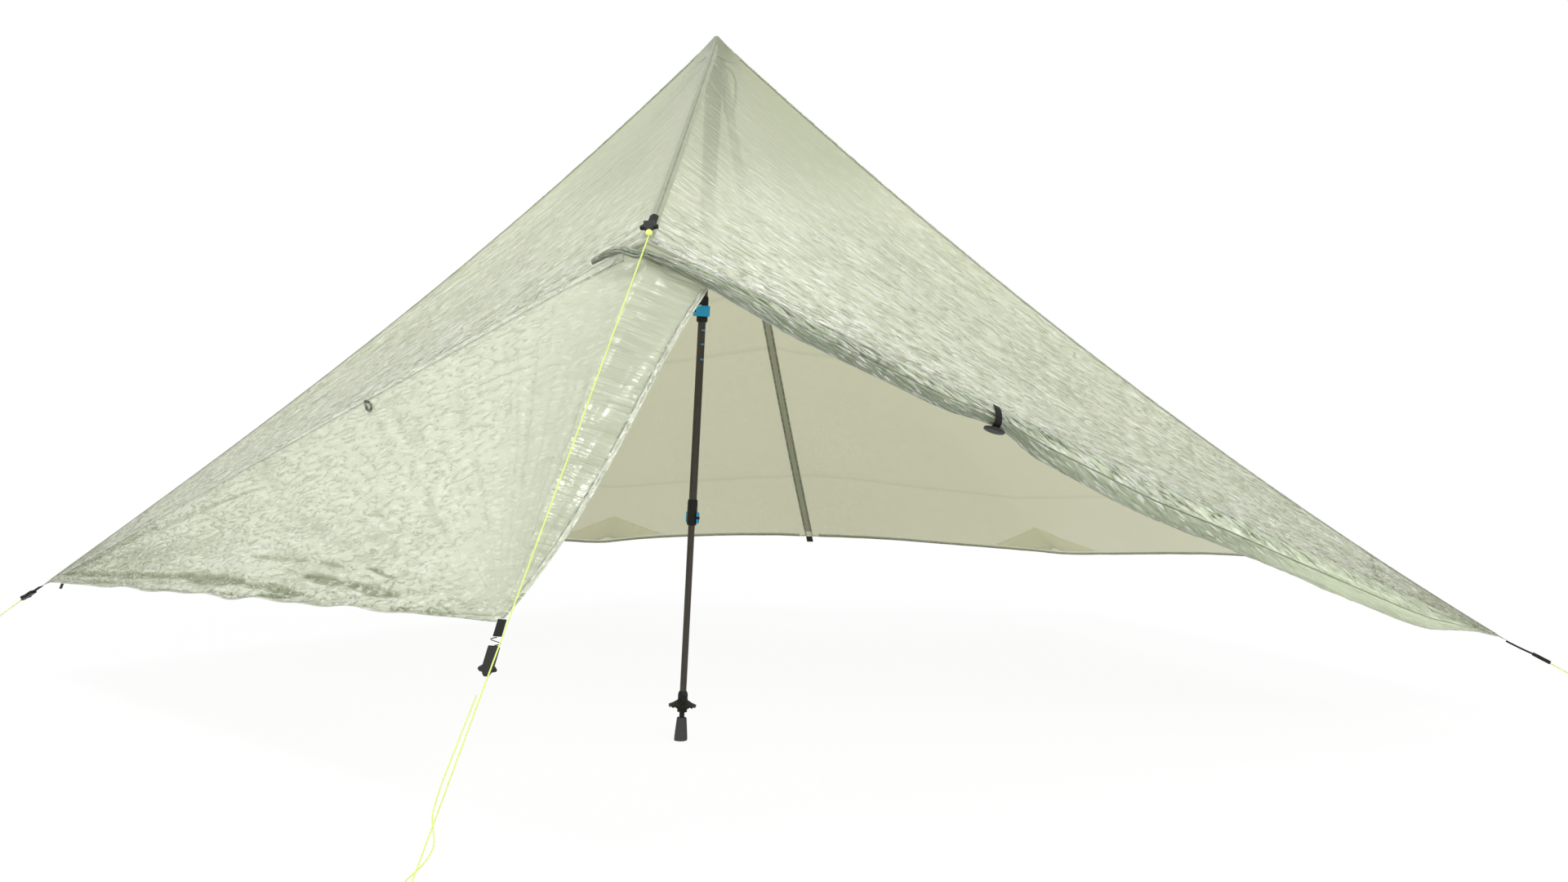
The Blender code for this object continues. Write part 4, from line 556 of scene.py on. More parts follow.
# The hard finishes: name, colour, roughness, and the rest by name
HARD = {
    "webbing": ("black_webbing", (0.014, 0.014, 0.013), 0.8, {"gloss": 0.25, "ribs": ("X", 900.0, 0.0002)}),
    "black_plastic": ("black_plastic", (0.010, 0.010, 0.009), 0.45, {"gloss": 0.16}),
    "blue_plastic": ("blue_plastic", (0.004, 0.24, 0.46), 0.35, {"gloss": 0.4}),
    "tube": ("pole_tube", (0.045, 0.037, 0.031), 0.30, {"metallic": 0.5, "gloss": 0.4, "grain": 60.0}),
    "wire": ("dark_wire", (0.020, 0.020, 0.020), 0.35, {"gloss": 0.4}),
    "steel": ("steel", (0.62, 0.62, 0.60), 0.28, {"metallic": 1.0}),
    "rubber": ("rubber", (0.030, 0.030, 0.028), 0.75, {"grain": 250.0}),
    "foam": ("grip_foam", (0.035, 0.035, 0.033), 0.9, {"grain": 900.0, "depth": 0.0006}),
    "grip": ("grip_rubber", (0.030, 0.030, 0.029), 0.7, {"ribs": ("Z", 110.0, 0.0006)}),
}
LIME = (0.74, 0.88, 0.20)
LIME_FLECKS = (0.58, 0.70, 0.22)


def make_paint():
    """Every finish, by the record's slot or by the piece that wears it."""
    paint = {slot: cloth_material(slot + "_cloth", *CLOTHS[slot], **CLOTHS_MORE[slot]) for slot in CLOTHS}
    paint["cord"] = cord_material("lime_cord", LIME, LIME_FLECKS)
    paint.update({slot: plain_material(*basics, **more) for slot, (*basics, more) in HARD.items()})
    return paint


# Canopy
def bowed(start, end, drop, skew=0.0):
    """An edge from start to end that hangs below its chord, by drop near the middle."""

    def edge(share):
        share = np.asarray(share, float)
        hang = 4.0 * share * (1.0 - share) * (1.0 + skew * (2.0 * share - 1.0))
        return mix(start, end, share) - UP * (drop * hang)[..., None]

    return edge


def joined(first, second):
    """Two edges end to end, meeting at their share of the length."""
    length_a = length(first(1.0) - first(0.0))
    length_b = length(second(1.0) - second(0.0))
    bend = length_a / (length_a + length_b)

    def edge(share):
        share = np.asarray(share, float)
        before = first(np.clip(share / bend, 0.0, 1.0))
        after = second(np.clip((share - bend) / (1.0 - bend), 0.0, 1.0))
        return np.where((share <= bend)[..., None], before, after)

    return edge, bend


class Surface:
    """A grid of cloth points that can be sampled anywhere, so that strips and patches lie on it."""

    def __init__(self, points, out):
        self.points = points
        self.out = out
        normals = grid_normals(points)
        self.normals = np.where(np.sum(normals * out, axis=-1, keepdims=True) < 0.0, -normals, normals)

    def fold(self, height):
        """Moves each point out of the smooth cloth."""
        self.points = self.points + self.normals * height[..., None]

    def sample(self, across, down, lift=0.0):
        """The place at a share of the way across and down, lifted off the cloth."""
        rows, columns = self.points.shape[:2]
        x = np.clip(np.asarray(across, float), 0.0, 1.0) * (columns - 1)
        y = np.clip(np.asarray(down, float), 0.0, 1.0) * (rows - 1)
        x, y = np.broadcast_arrays(x, y)
        left = np.minimum(x.astype(int), columns - 2)
        top = np.minimum(y.astype(int), rows - 2)
        right = (x - left)[..., None]
        low = (y - top)[..., None]
        found = []
        for field in (self.points, self.normals):
            upper, lower = (
                field[row, left] * (1.0 - right) + field[row, left + 1] * right
                for row in (top, top + 1)
            )
            found.append(upper * (1.0 - low) + lower * low)
        return found[0] + unit(found[1]) * lift


def fan_coordinates(points, focus, out, spread=None):
    """Cloth coordinates along and across the pull of a corner, the distance from it and the way round it."""
    middle = points.reshape(-1, 3).mean(axis=0)
    along = middle - focus
    along = unit(along - out * np.dot(along, out))
    across = np.cross(out, along)
    away = points - focus
    forward = away @ along
    sideways = away @ across
    reach = np.hypot(forward, sideways)
    way = np.arctan2(sideways, forward)
    if spread is None:
        return np.stack([forward, sideways], axis=-1), reach, way
    scaled = np.sqrt(np.maximum(reach, 1e-6) * spread)
    return np.stack([2.0 * scaled, way * scaled], axis=-1), reach, way


# A panel's grid, how the shape of its hem spreads up it and holds at its ridges, its height as a share of the
# way to the peak, and how finely the front's crinkle fans out
PANEL_ROWS = 260
PANEL_COLUMNS = 240
PANEL_START = 0.012
HEM_SPREAD = 0.075
HEM_SPREAD_LEAST = 0.004
HEM_HOLD = 6
PANEL_TALL = 0.8
FRONT_SPREAD = 0.9

# Where its folds fade out: metres from a ridge and from the hem
RIDGE_FADE = 0.030
HEM_FADE = 0.014

# Its folds: how many fit in a unit along and across, and how deep they are
FRONT_LONG = (4.0, 30.0, 0.0034)
FRONT_SMALL = (18.0, 42.0, 0.0020)
FRONT_GATHERS = (62.0, 16.0, 0.0046)
# The folds drawn to the side corner carry only painted shade
FRONT_DRAWN = (2.2, 22.0, 1.0)
REAR_SOFT = (3.0, 9.0, 0.0035)
REAR_SMALL = (14.0, 20.0, 0.0006)
REAR_CREASES = (0.42, 0.53, 0.83)
REAR_CREASE_HALF = 0.0045
REAR_CREASE_DEPTH = 0.0010
GATHERS_REACH = 0.040

# How crumpled the front cloth is: everywhere, more low down and near the hem, and most at its gathers
FRONT_ROUGH = 0.42
LOW_ROUGH = 0.62
MIDDLE_ROUGH = 0.95
LOW_REACH = 0.20
GATHERS_ROUGH = 0.50
GATHERS_ROUGH_REACH = 0.050
REAR_ROUGH = 0.4

# Painted shade: in its hollows, in the folds drawn to a side corner, high up where it is taut, and along the
# rear's fold lines
HOLLOW_SHADE = 0.65
DRAWN_FOLD_SHADE = 0.95
DRAWN_REACH = 0.55
PEAK_SHADE = 0.60
REAR_CREASE_SHADE = 0.6

# The seam of the doubled side corners, and how near the stitches stand on the rear's narrower seams
CORNER_SEAM = 0.30
REAR_SEAM_SHARE = 0.65

# Near the peak the front cloth is taut, and the pole's grip shows through it: as painted shade, and where the
# cloth is sheer
CALM_FROM = 1.06
CALM_LEAST = 0.15
GRIP_MIDDLE = 0.056
GRIP_LEAN = 0.192
GRIP_WIDTH = 0.020
GRIP_LOW = 0.98
GRIP_SHADOW = 0.42
SHEER = 0.20
SHEER_MIDDLE = 0.085
SHEER_WIDTH = 0.10
SHEER_LOW = 0.86


def panel_shape(near, far, hem, dip):
    """A taut panel between two ridges and a hem: its points, the way out, and shares across and down."""
    across = np.linspace(0.0, 1.0, PANEL_COLUMNS)
    down = np.linspace(PANEL_START, 1.0, PANEL_ROWS)
    u, v = np.meshgrid(across, down)
    offset = hem(across) - mix(near(1.0), far(1.0), across)
    hold = ((1.0 - np.minimum(across, 1.0 - across) / 0.5) ** HEM_HOLD)[:, None]
    shift = []
    for share in down:
        spread = HEM_SPREAD * (1.0 - share) + HEM_SPREAD_LEAST
        weight = np.exp(-0.5 * ((across[:, None] - across[None, :]) / spread) ** 2)
        weight /= weight.sum(axis=1, keepdims=True)
        shift.append((weight @ offset * (1.0 - hold) + offset * hold) * share)
    points = mix(near(v), far(v), u) + np.array(shift)
    out = unit(np.cross(near(1.0) - PEAK, far(1.0) - PEAK))
    if np.dot(out, mix(PEAK, hem(0.5), 0.5) - INSIDE) < 0.0:
        out = -out
    hollow = 16.0 * u * (1.0 - u) * v * (1.0 - v)
    return points - out * (dip * hollow)[..., None], out, u, v


def seam_distances(near, far, hem, u, v):
    """How far each point of a panel is from its hem and from the nearer ridge."""
    width = length(far(v) - near(v))
    chord = unit(far(1.0) - near(1.0))
    leans = [math.sqrt(1.0 - np.dot(unit(ridge(1.0) - ridge(0.0)), chord) ** 2) for ridge in (near, far)]
    to_hem = (1.0 - v) * length(hem(u) - PEAK) * PANEL_TALL
    return to_hem, np.minimum(u * width * leans[0], (1.0 - u) * width * leans[1])


def front_folds(reach, way, cloth, to_hem, seed):
    """Crinkles drawn out towards the side corner, and gathers where the door is sewn on."""
    long_folds = crinkle(reach, way, FRONT_LONG, seed) * np.minimum(reach / 0.4, 1.0)
    small = crinkle(cloth[..., 0], cloth[..., 1], FRONT_SMALL, seed + 5)
    gathers = crinkle(reach, to_hem, FRONT_GATHERS, seed + 9, 3) * np.exp(-to_hem / GATHERS_REACH)
    return long_folds + small + gathers


def rear_folds(reach, way, cloth, v, seed):
    """Calm cloth with a few soft folds and three faint fold lines across it."""
    soft = noise(reach * REAR_SOFT[0], way * REAR_SOFT[1], seed) * REAR_SOFT[2]
    small = crinkle(cloth[..., 0], cloth[..., 1], REAR_SMALL, seed + 3, 3)
    crease = sum(np.exp(-np.abs(v - place) / REAR_CREASE_HALF) for place in REAR_CREASES)
    return soft + small - crease * REAR_CREASE_DEPTH


def calm_high_up(points):
    """How much the front cloth creases: little near the peak, where it is taut."""
    return CALM_LEAST + (1.0 - CALM_LEAST) * eased((CALM_FROM - points[..., 2]) / 0.18)


def grip_shade(points):
    """Painted shade: the soft dark shape of the pole's grip, which presses on the front cloth under the peak.
    """
    aside = (points[..., 0] - GRIP_MIDDLE - GRIP_LEAN * (PEAK[2] - points[..., 2])) / GRIP_WIDTH
    return GRIP_SHADOW * np.exp(-(aside**2)) * eased((points[..., 2] - GRIP_LOW) / 0.20)


def pole_shows(points):
    """How sheer the front cloth is: most where it is taut and smooth, in front of the pole's grip."""
    across = bell(points[..., 0], SHEER_MIDDLE, SHEER_WIDTH)
    return SHEER * across * eased((points[..., 2] - SHEER_LOW) / 0.15)


def panel_surface(near, far, hem, dip, focus, seed, front):
    """One canopy panel: its taut shape with folds that run to one corner, and the fields its finish reads."""
    points, out, u, v = panel_shape(near, far, hem, dip)
    to_hem, to_ridge = seam_distances(near, far, hem, u, v)
    cloth, reach, way = fan_coordinates(points, focus, out, FRONT_SPREAD if front else None)
    surface = Surface(points, out)
    still = eased(to_ridge / RIDGE_FADE)
    if not front:
        surface.fold(rear_folds(reach, way, cloth, v, seed) * still)
        # Painted shade along the three fold lines
        tone = REAR_CREASE_SHADE * sum(bell(v, place, REAR_CREASE_HALF) for place in REAR_CREASES)
        seam = np.minimum(to_ridge * REAR_SEAM_SHARE, to_hem)
        return surface, cloth, {"seam": seam, "rough": REAR_ROUGH, "tone": tone}
    calm = calm_high_up(points)
    still = still * eased(to_hem / HEM_FADE + 0.05)
    height = front_folds(reach, way, cloth, to_hem, seed) * still * calm
    surface.fold(height)
    low_down = MIDDLE_ROUGH * eased(v * 1.25 - 0.2) * eased(u * 2.5)
    rough = FRONT_ROUGH + LOW_ROUGH * np.maximum(np.exp(-to_hem / LOW_REACH), low_down)
    rough = rough * calm + GATHERS_ROUGH * np.exp(-to_hem / GATHERS_ROUGH_REACH)
    # Painted shade: darker in the hollows of the folds, in folds drawn to the side corner, high up near the
    # peak, and the grip's shade
    drawn = eased((crinkle(reach, way, FRONT_DRAWN, seed + 21, 3) - 0.12) / 0.30)
    drawn = DRAWN_FOLD_SHADE * drawn * bell(reach, 0.0, DRAWN_REACH)
    tone = np.maximum(HOLLOW_SHADE * eased(-height / 0.0040 - 0.15), drawn)
    tone = np.maximum(tone, PEAK_SHADE * (1.0 - calm)) + grip_shade(points)
    seam = np.minimum(np.minimum(to_ridge, to_hem), np.abs(reach - CORNER_SEAM))
    return surface, cloth, {"seam": seam, "rough": rough, "tone": tone, "sheer": pole_shows(surface.points)}


def cut_size(points, out):
    """Width, length and area of the flat cloth that a panel is cut from."""
    flat = points.reshape(-1, 3) - points.reshape(-1, 3).mean(axis=0)
    flat = flat - np.outer(flat @ out, out)
    _, _, axes = np.linalg.svd(flat[::7], full_matrices=False)
    sides = [float(np.ptp(flat @ axes[index])) for index in (0, 1)]
    falling = points[1:, 1:] - points[:-1, :-1]
    rising = points[1:, :-1] - points[:-1, 1:]
    area = float(length(np.cross(falling, rising)).sum() / 2.0)
    return sides, min(area, sides[0] * sides[1])


def add_sheet(name, surface, cloth, finish, node, fields):
    """A sheet of cloth that stands for a CAD panel."""
    made = grid_object(name, surface.points, finish, cloth, **fields)
    stand_in(made, "fabric", node)
    sides, area = cut_size(surface.points, surface.out)


def ridge_strip(name, first, first_side, second, second_side, half, finish):
    """The seam tape over a ridge, laid on both panels. Only the wide tapes show their stitching."""
    offsets = np.linspace(-1.0, 1.0, 13)
    rows = []
    for share in np.linspace(0.0, 0.985, 240):
        row = []
        for offset in offsets:
            surface, side = (first, first_side) if offset < 0.0 else (second, second_side)
            wide = length(surface.sample(1.0, share) - surface.sample(0.0, share)) + 1e-6
            reach = min(abs(offset) * half / wide, 0.4)
            row.append(surface.sample(reach if side == "near" else 1.0 - reach, share, STRIP_LIFT))
        rows.append(row)
    points = np.array(rows)
    seam = np.abs(offsets * half)[None, :] if half > WIDE_TAPE else 1.0
    cloth = laid_out(length(points[:, 6] - points[0, 6]), offsets * half)
    stand_in(grid_object(name + "_tape", points, finish, cloth, seam=seam), "seam", name)


def edge_strip(name, place, shares, finish):
    """A folded hem: place(share, distance) gives the strip's points, with stitches near its inner edge."""
    distances = np.linspace(0.0, HEM, 7)
    points = np.array([[place(share, distance) for distance in distances] for share in shares])
    cloth = laid_out(walked(points[:, 0]), distances)
    seam = HEM - distances + SEAM_LINE - HEM_STITCH
    stand_in(grid_object(name + "_strip", points, finish, cloth, seam=seam), "seam", name)


# Half the width of each ridge's tape, and how tall a panel is over its hem as a share of the way to the peak
FRONT_TAPE = 0.0120
SIDE_TAPE = 0.0060
REAR_TAPE = 0.0078
HEM_TALL = 0.85


def build_canopy(paint):
    """The four panels with their tapes, hems, patches and cap."""
    ridges = {
        "front": bowed(PEAK, BEAK, FRONT_RIDGE_SAG),
        "left": bowed(PEAK, LEFT, LEFT_RIDGE_SAG, LEFT_RIDGE_SKEW),
        "right": bowed(PEAK, RIGHT_CORNER, RIGHT_RIDGE_SAG),
        "rear": bowed(PEAK, REAR, REAR_RIDGE_SAG),
    }
    left_line = bowed(BEAK, LEFT, -LEFT_DOOR_LINE_RISE)
    right_line = bowed(BEAK, RIGHT_CORNER, RIGHT_DOOR_LINE_SAG)
    (left_hem, left_bend), (right_hem, right_bend) = (
        joined(bowed(side, rear_side, -SIDE_HEM_RISE, -SIDE_HEM_SKEW), bowed(rear_side, REAR, -REAR_HEM_RISE))
        for side, rear_side in ((LEFT, REAR_LEFT), (RIGHT_CORNER, REAR_RIGHT))
    )
    surfaces = {}
    for name, near, far, hem, focus, seed in (
        ("front_left", "front", "left", left_line, LEFT, 11),
        ("front_right", "front", "right", right_line, RIGHT_CORNER, 23),
        ("rear_left", "left", "rear", left_hem, PEAK, 37),
        ("rear_right", "right", "rear", right_hem, PEAK, 41),
    ):
        front = name.startswith("front")
        dip = FRONT_PANEL_DIP if front else REAR_PANEL_DIP
        surface, cloth, fields = panel_surface(ridges[near], ridges[far], hem, dip, focus, seed, front)
        finish = paint["front" if front else "rear"]
        add_sheet(name + "_cloth", surface, cloth, finish, name + "_panel", fields)
        surfaces[name] = surface
    for name, first, first_side, second, second_side, half, finish in (
        ("front_ridge_seam", "front_left", "near", "front_right", "near", FRONT_TAPE, "seam"),
        ("left_ridge_seam", "front_left", "far", "rear_left", "near", SIDE_TAPE, "edge"),
        ("right_ridge_seam", "front_right", "far", "rear_right", "near", SIDE_TAPE, "edge"),
        ("rear_ridge_seam", "rear_left", "far", "rear_right", "far", REAR_TAPE, "seam"),
    ):
        ridge_strip(name, surfaces[first], first_side, surfaces[second], second_side, half, paint[finish])
    for name, panel in (
        ("left_rear_hem", "rear_left"),
        ("right_rear_hem", "rear_right"),
        ("right_door_seam", "front_right"),
    ):

        def on_hem(share, distance, surface=surfaces[panel]):
            tall = length(surface.sample(share, 1.0) - PEAK) * HEM_TALL
            return surface.sample(share, 1.0 - distance / tall, STRIP_LIFT)

        edge_strip(name, on_hem, np.linspace(0.012, 0.988, 220), paint["edge"])
    build_patches(surfaces, left_bend, right_bend, paint)
    build_cap(surfaces, paint)
    return left_line, right_line


# The side of each doubled corner, and how far inside the hem it starts and its stitches run
SIDE_PATCH = 0.200
REAR_PATCH = 0.130
PATCH_START = 0.012
PATCH_STITCH = 0.0012


def build_patches(surfaces, left_bend, right_bend, paint):
    """Doubled corners inside the canopy, cut as triangles."""
    for name, panel, across, side in (
        ("left_corner_patch", "front_left", 1.0, SIDE_PATCH),
        ("right_corner_patch", "front_right", 1.0, SIDE_PATCH),
        ("rear_left_corner_patch", "rear_left", left_bend, REAR_PATCH),
        ("rear_right_corner_patch", "rear_right", right_bend, REAR_PATCH),
    ):
        surface = surfaces[panel]
        tall = side / length(surface.sample(across, 1.0) - PEAK)
        wide = side / length(surface.sample(1.0, 1.0) - surface.sample(0.0, 1.0))
        direction = 1.0 if across < 0.5 else -1.0
        shares = np.linspace(0.02, 1.0, 17) if across == 1.0 else np.linspace(-1.0, 1.0, 31)
        share, reach = np.meshgrid(shares, np.linspace(0.12, 1.0, 16))
        sideways = across + direction * share * wide * reach
        down = 1.0 - tall * reach * (1.0 - np.abs(share)) - PATCH_START
        points = surface.sample(sideways, down, -STRIP_LIFT)
        cloth = np.stack([share * side, reach * side], axis=-1)
        seam = (1.0 - reach) * side + PATCH_STITCH
        stand_in(grid_object(name + "_cloth", points, paint["patch"], cloth, seam=seam), "seam", name)


# The cap: how far down it reaches, its rings, its lift at the tip, under it and at its edge, how crumpled it
# is, and its painted shade from tip to edge
CAP_REACH = 0.055
CAP_RINGS = 14
CAP_TIP = 0.0030
CAP_LIFT = 0.0018
CAP_EDGE_LIFT = 0.0005
CAP_ROUGH = 0.02
CAP_SHADES = (0.80, 0.50)


def build_cap(surfaces, paint):
    """The rounded cap of doubled fabric over the peak."""
    around = [(name, 0.0, 1.0) for name in ("front_left", "rear_left")]
    around += [(name, 1.0, 0.0) for name in ("rear_right", "front_right")]
    rings = []
    for reach in np.linspace(0.06, 1.0, CAP_RINGS):
        row = []
        for panel, start, end in around:
            surface = surfaces[panel]
            for share in np.linspace(start, end, 16, endpoint=False):
                down = CAP_REACH * reach / length(surface.sample(share, 1.0) - PEAK) - PANEL_START
                lift = CAP_LIFT - (CAP_LIFT - CAP_EDGE_LIFT) * reach
                point = surface.sample(share, max(down, 0.0), lift)
                if down < 0.0:
                    point = mix(PEAK + UP * CAP_TIP, point, (down + PANEL_START) / PANEL_START)
                row.append(point)
        rings.append(row)
    points = np.array(rings)
    smooth = points.copy()
    for _ in range(3):
        smooth = 0.5 * smooth + 0.25 * (np.roll(smooth, 1, axis=1) + np.roll(smooth, -1, axis=1))
    smooth[:, :, 2] = np.maximum(smooth[:, :, 2], points[:, :, 2])
    cloth = laid_out(np.linspace(0.0, CAP_REACH, CAP_RINGS), np.linspace(0.0, 0.3, points.shape[1]))
    # Painted shade: darker at the tip, fading to the edge, with the grip's shade
    tone = np.linspace(*CAP_SHADES, CAP_RINGS)[:, None] + grip_shade(smooth)
    fields = {"tone": tone, "rough": CAP_ROUGH}
    made = grid_object("peak_cap_cloth", smooth, paint["front"], cloth, closed=True, **fields)
    stand_in(made, "seam", "peak_cap")


# The closed door: its outline, the dip of its cloth, and where the taut line presses it in under the beak
DOOR_START_SHARE = 0.985
DOOR_OVERLAP = 0.124
DOOR_CORNER_CUT = 0.018
DOOR_TOP_CUT = 0.0005
DOOR_DIP = 0.014
DOOR_HEM_RISE = 0.002
DOOR_HEM_WAVE = 0.0022
DOOR_HEM_WAVES = (37.0, 61.0)
DOOR_EDGE_BOW = 0.017
DOOR_EDGE_SKEW = 1.20
DOOR_PRESS = 0.0165
DOOR_PRESS_DEPTH = 0.035
DOOR_PRESS_REACH = 0.120

# Its folds: how many fit in a unit along and across, and how deep they are
DOOR_SEED = 71
DOOR_LONG = (3.0, 13.0, 0.0055)
DOOR_SMALL = (22.0, 40.0, 0.0024)
DOOR_GATHERS = (20.0, 12.0, 0.0022)
DOOR_LEFT_DEPTH = 0.0110
DOOR_HEM_DEPTH = 0.0090
DOOR_DENT_DEPTH = 0.0080

# How far its left corner and its hem crease it, and how finely its crinkle fans out from that corner
LEFT_REACH = 0.60
HEM_REACH = 0.075
DOOR_SPREAD = 0.45

# How crumpled it is: everywhere, more low down, more in its creased zones, and less by its free edge
DOOR_ROUGH = 0.50
DOOR_LOW_ROUGH = 0.30
ZONE_ROUGH = 0.70
EDGE_CALM = 0.55

# Painted shade: in folds from its left corner, in those of its hem, in dips, in long folds, and towards its
# free edge
LEFT_FOLD_SHADE = 0.65
HEM_FOLD_SHADE = 0.60
DIP_SHADE = 0.35
DENT_SHADE = 0.85
FREE_EDGE_SHADE = 0.34

# Each long fold along its hem: metres along and above the hem at both ends, half its width, and its depth
DOOR_FOLDS = (
    (0.10, 0.0300, 0.62, 0.0410, 0.0075, 0.80),
    (0.56, 0.0420, 0.80, 0.0380, 0.0130, 1.00),
    (0.78, 0.0360, 0.88, 0.0290, 0.0050, 0.80),
    (0.87, 0.0350, 1.01, 0.0240, 0.0085, 0.95),
    (0.90, 0.0150, 0.97, 0.0160, 0.0040, 0.80),
    (1.01, 0.0580, 1.12, 0.0500, 0.0095, 1.00),
    (1.15, 0.0490, 1.30, 0.0330, 0.0110, 1.00),
    (1.21, 0.0770, 1.27, 0.0640, 0.0050, 0.80),
    (0.81, 0.0870, 0.97, 0.0850, 0.0050, 0.55),
    (1.05, 0.0840, 1.11, 0.0780, 0.0050, 0.60),
    (0.14, 0.0440, 0.40, 0.1300, 0.0085, 0.60),
    (0.36, 0.1120, 0.70, 0.2050, 0.0060, 0.40),
    (1.42, 0.0080, 1.50, 0.0050, 0.0035, 0.60),
)
FOLD_END = 0.02
FOLD_RAGGED = 0.45


# Doors
class Door:
    """The closed left door: a fan of fabric from the beak's hem down to its hooked corner."""

    def __init__(self, left_line, right_line):
        self.overlap = DOOR_OVERLAP / length(right_line(1.0) - right_line(0.0))
        self.left_line = left_line
        self.right_line = right_line
        self.out = unit(np.cross(left_line(1.0) - BEAK, DOOR_CORNER - BEAK))
        if np.dot(self.out, DOOR_CORNER - INSIDE) < 0.0:
            self.out = -self.out

    def top(self, share):
        """A place on its sewn edge: from 1 at the left, through 0 at the beak, to -1 at its free edge."""
        share = np.asarray(share, float)
        left = self.left_line(np.clip(share, 0.0, 1.0) * DOOR_START_SHARE)
        right = self.right_line(np.clip(-share, 0.0, 1.0) * self.overlap)
        return np.where((share >= 0.0)[..., None], left, right)

    def at(self, share, down):
        """A place on it, part of the way down from there to the hooked corner."""
        share, down = np.broadcast_arrays(np.asarray(share, float), np.asarray(down, float))
        top = self.top(share)
        hang = (4.0 * down * (1.0 - down))[..., None]
        left = np.clip(share, 0.0, 1.0)
        right = np.clip(-share, 0.0, 1.0)
        waves = np.sin(down * DOOR_HEM_WAVES[0]) + np.sin(down * DOOR_HEM_WAVES[1] + 1.0)
        hem_pull = UP * (DOOR_HEM_RISE * left**2 + DOOR_HEM_WAVE * left**8 * waves)[..., None]
        edge_pull = RIGHT * (DOOR_EDGE_BOW * right * (1.0 + DOOR_EDGE_SKEW * (2.0 * down - 1.0)))[..., None]
        hollow = self.out * (DOOR_DIP * 4.0 * left * (1.0 - left))[..., None]
        depth = down * length(top - DOOR_CORNER) / DOOR_PRESS_DEPTH
        pressed = DOOR_PRESS * bell(length(top - BEAK), 0.0, DOOR_PRESS_REACH) * depth * np.exp(1.0 - depth)
        point = mix(top, DOOR_CORNER, down) + (hem_pull + edge_pull - hollow) * hang
        return point - self.out * pressed[..., None]


def door_dents(points):
    """How deep each place on the door lies in the long dark folds along its hem, from 0 to 1."""
    run = unit(DOOR_CORNER - LEFT)
    rise = np.cross(run, unit(np.cross(BEAK - LEFT, run)))
    rise = rise if rise[2] > 0.0 else -rise
    along = (points - LEFT) @ run
    above = (points - LEFT) @ rise
    ragged = FOLD_RAGGED * crumple(along * 16.0, above * 60.0, DOOR_SEED + 8, 3)
    total = np.zeros(along.shape)
    for start, low, end, high, half, depth in DOOR_FOLDS:
        share = np.clip((along - start) / (end - start), 0.0, 1.0)
        off = (above - mix(low, high, share)) / (half * (0.45 + 0.55 * np.sin(np.pi * share)))
        beyond = np.maximum(start - along, along - end) / FOLD_END
        total = np.maximum(total, depth * eased(1.35 - np.hypot(off, np.maximum(beyond, 0.0)) + ragged))
    return total


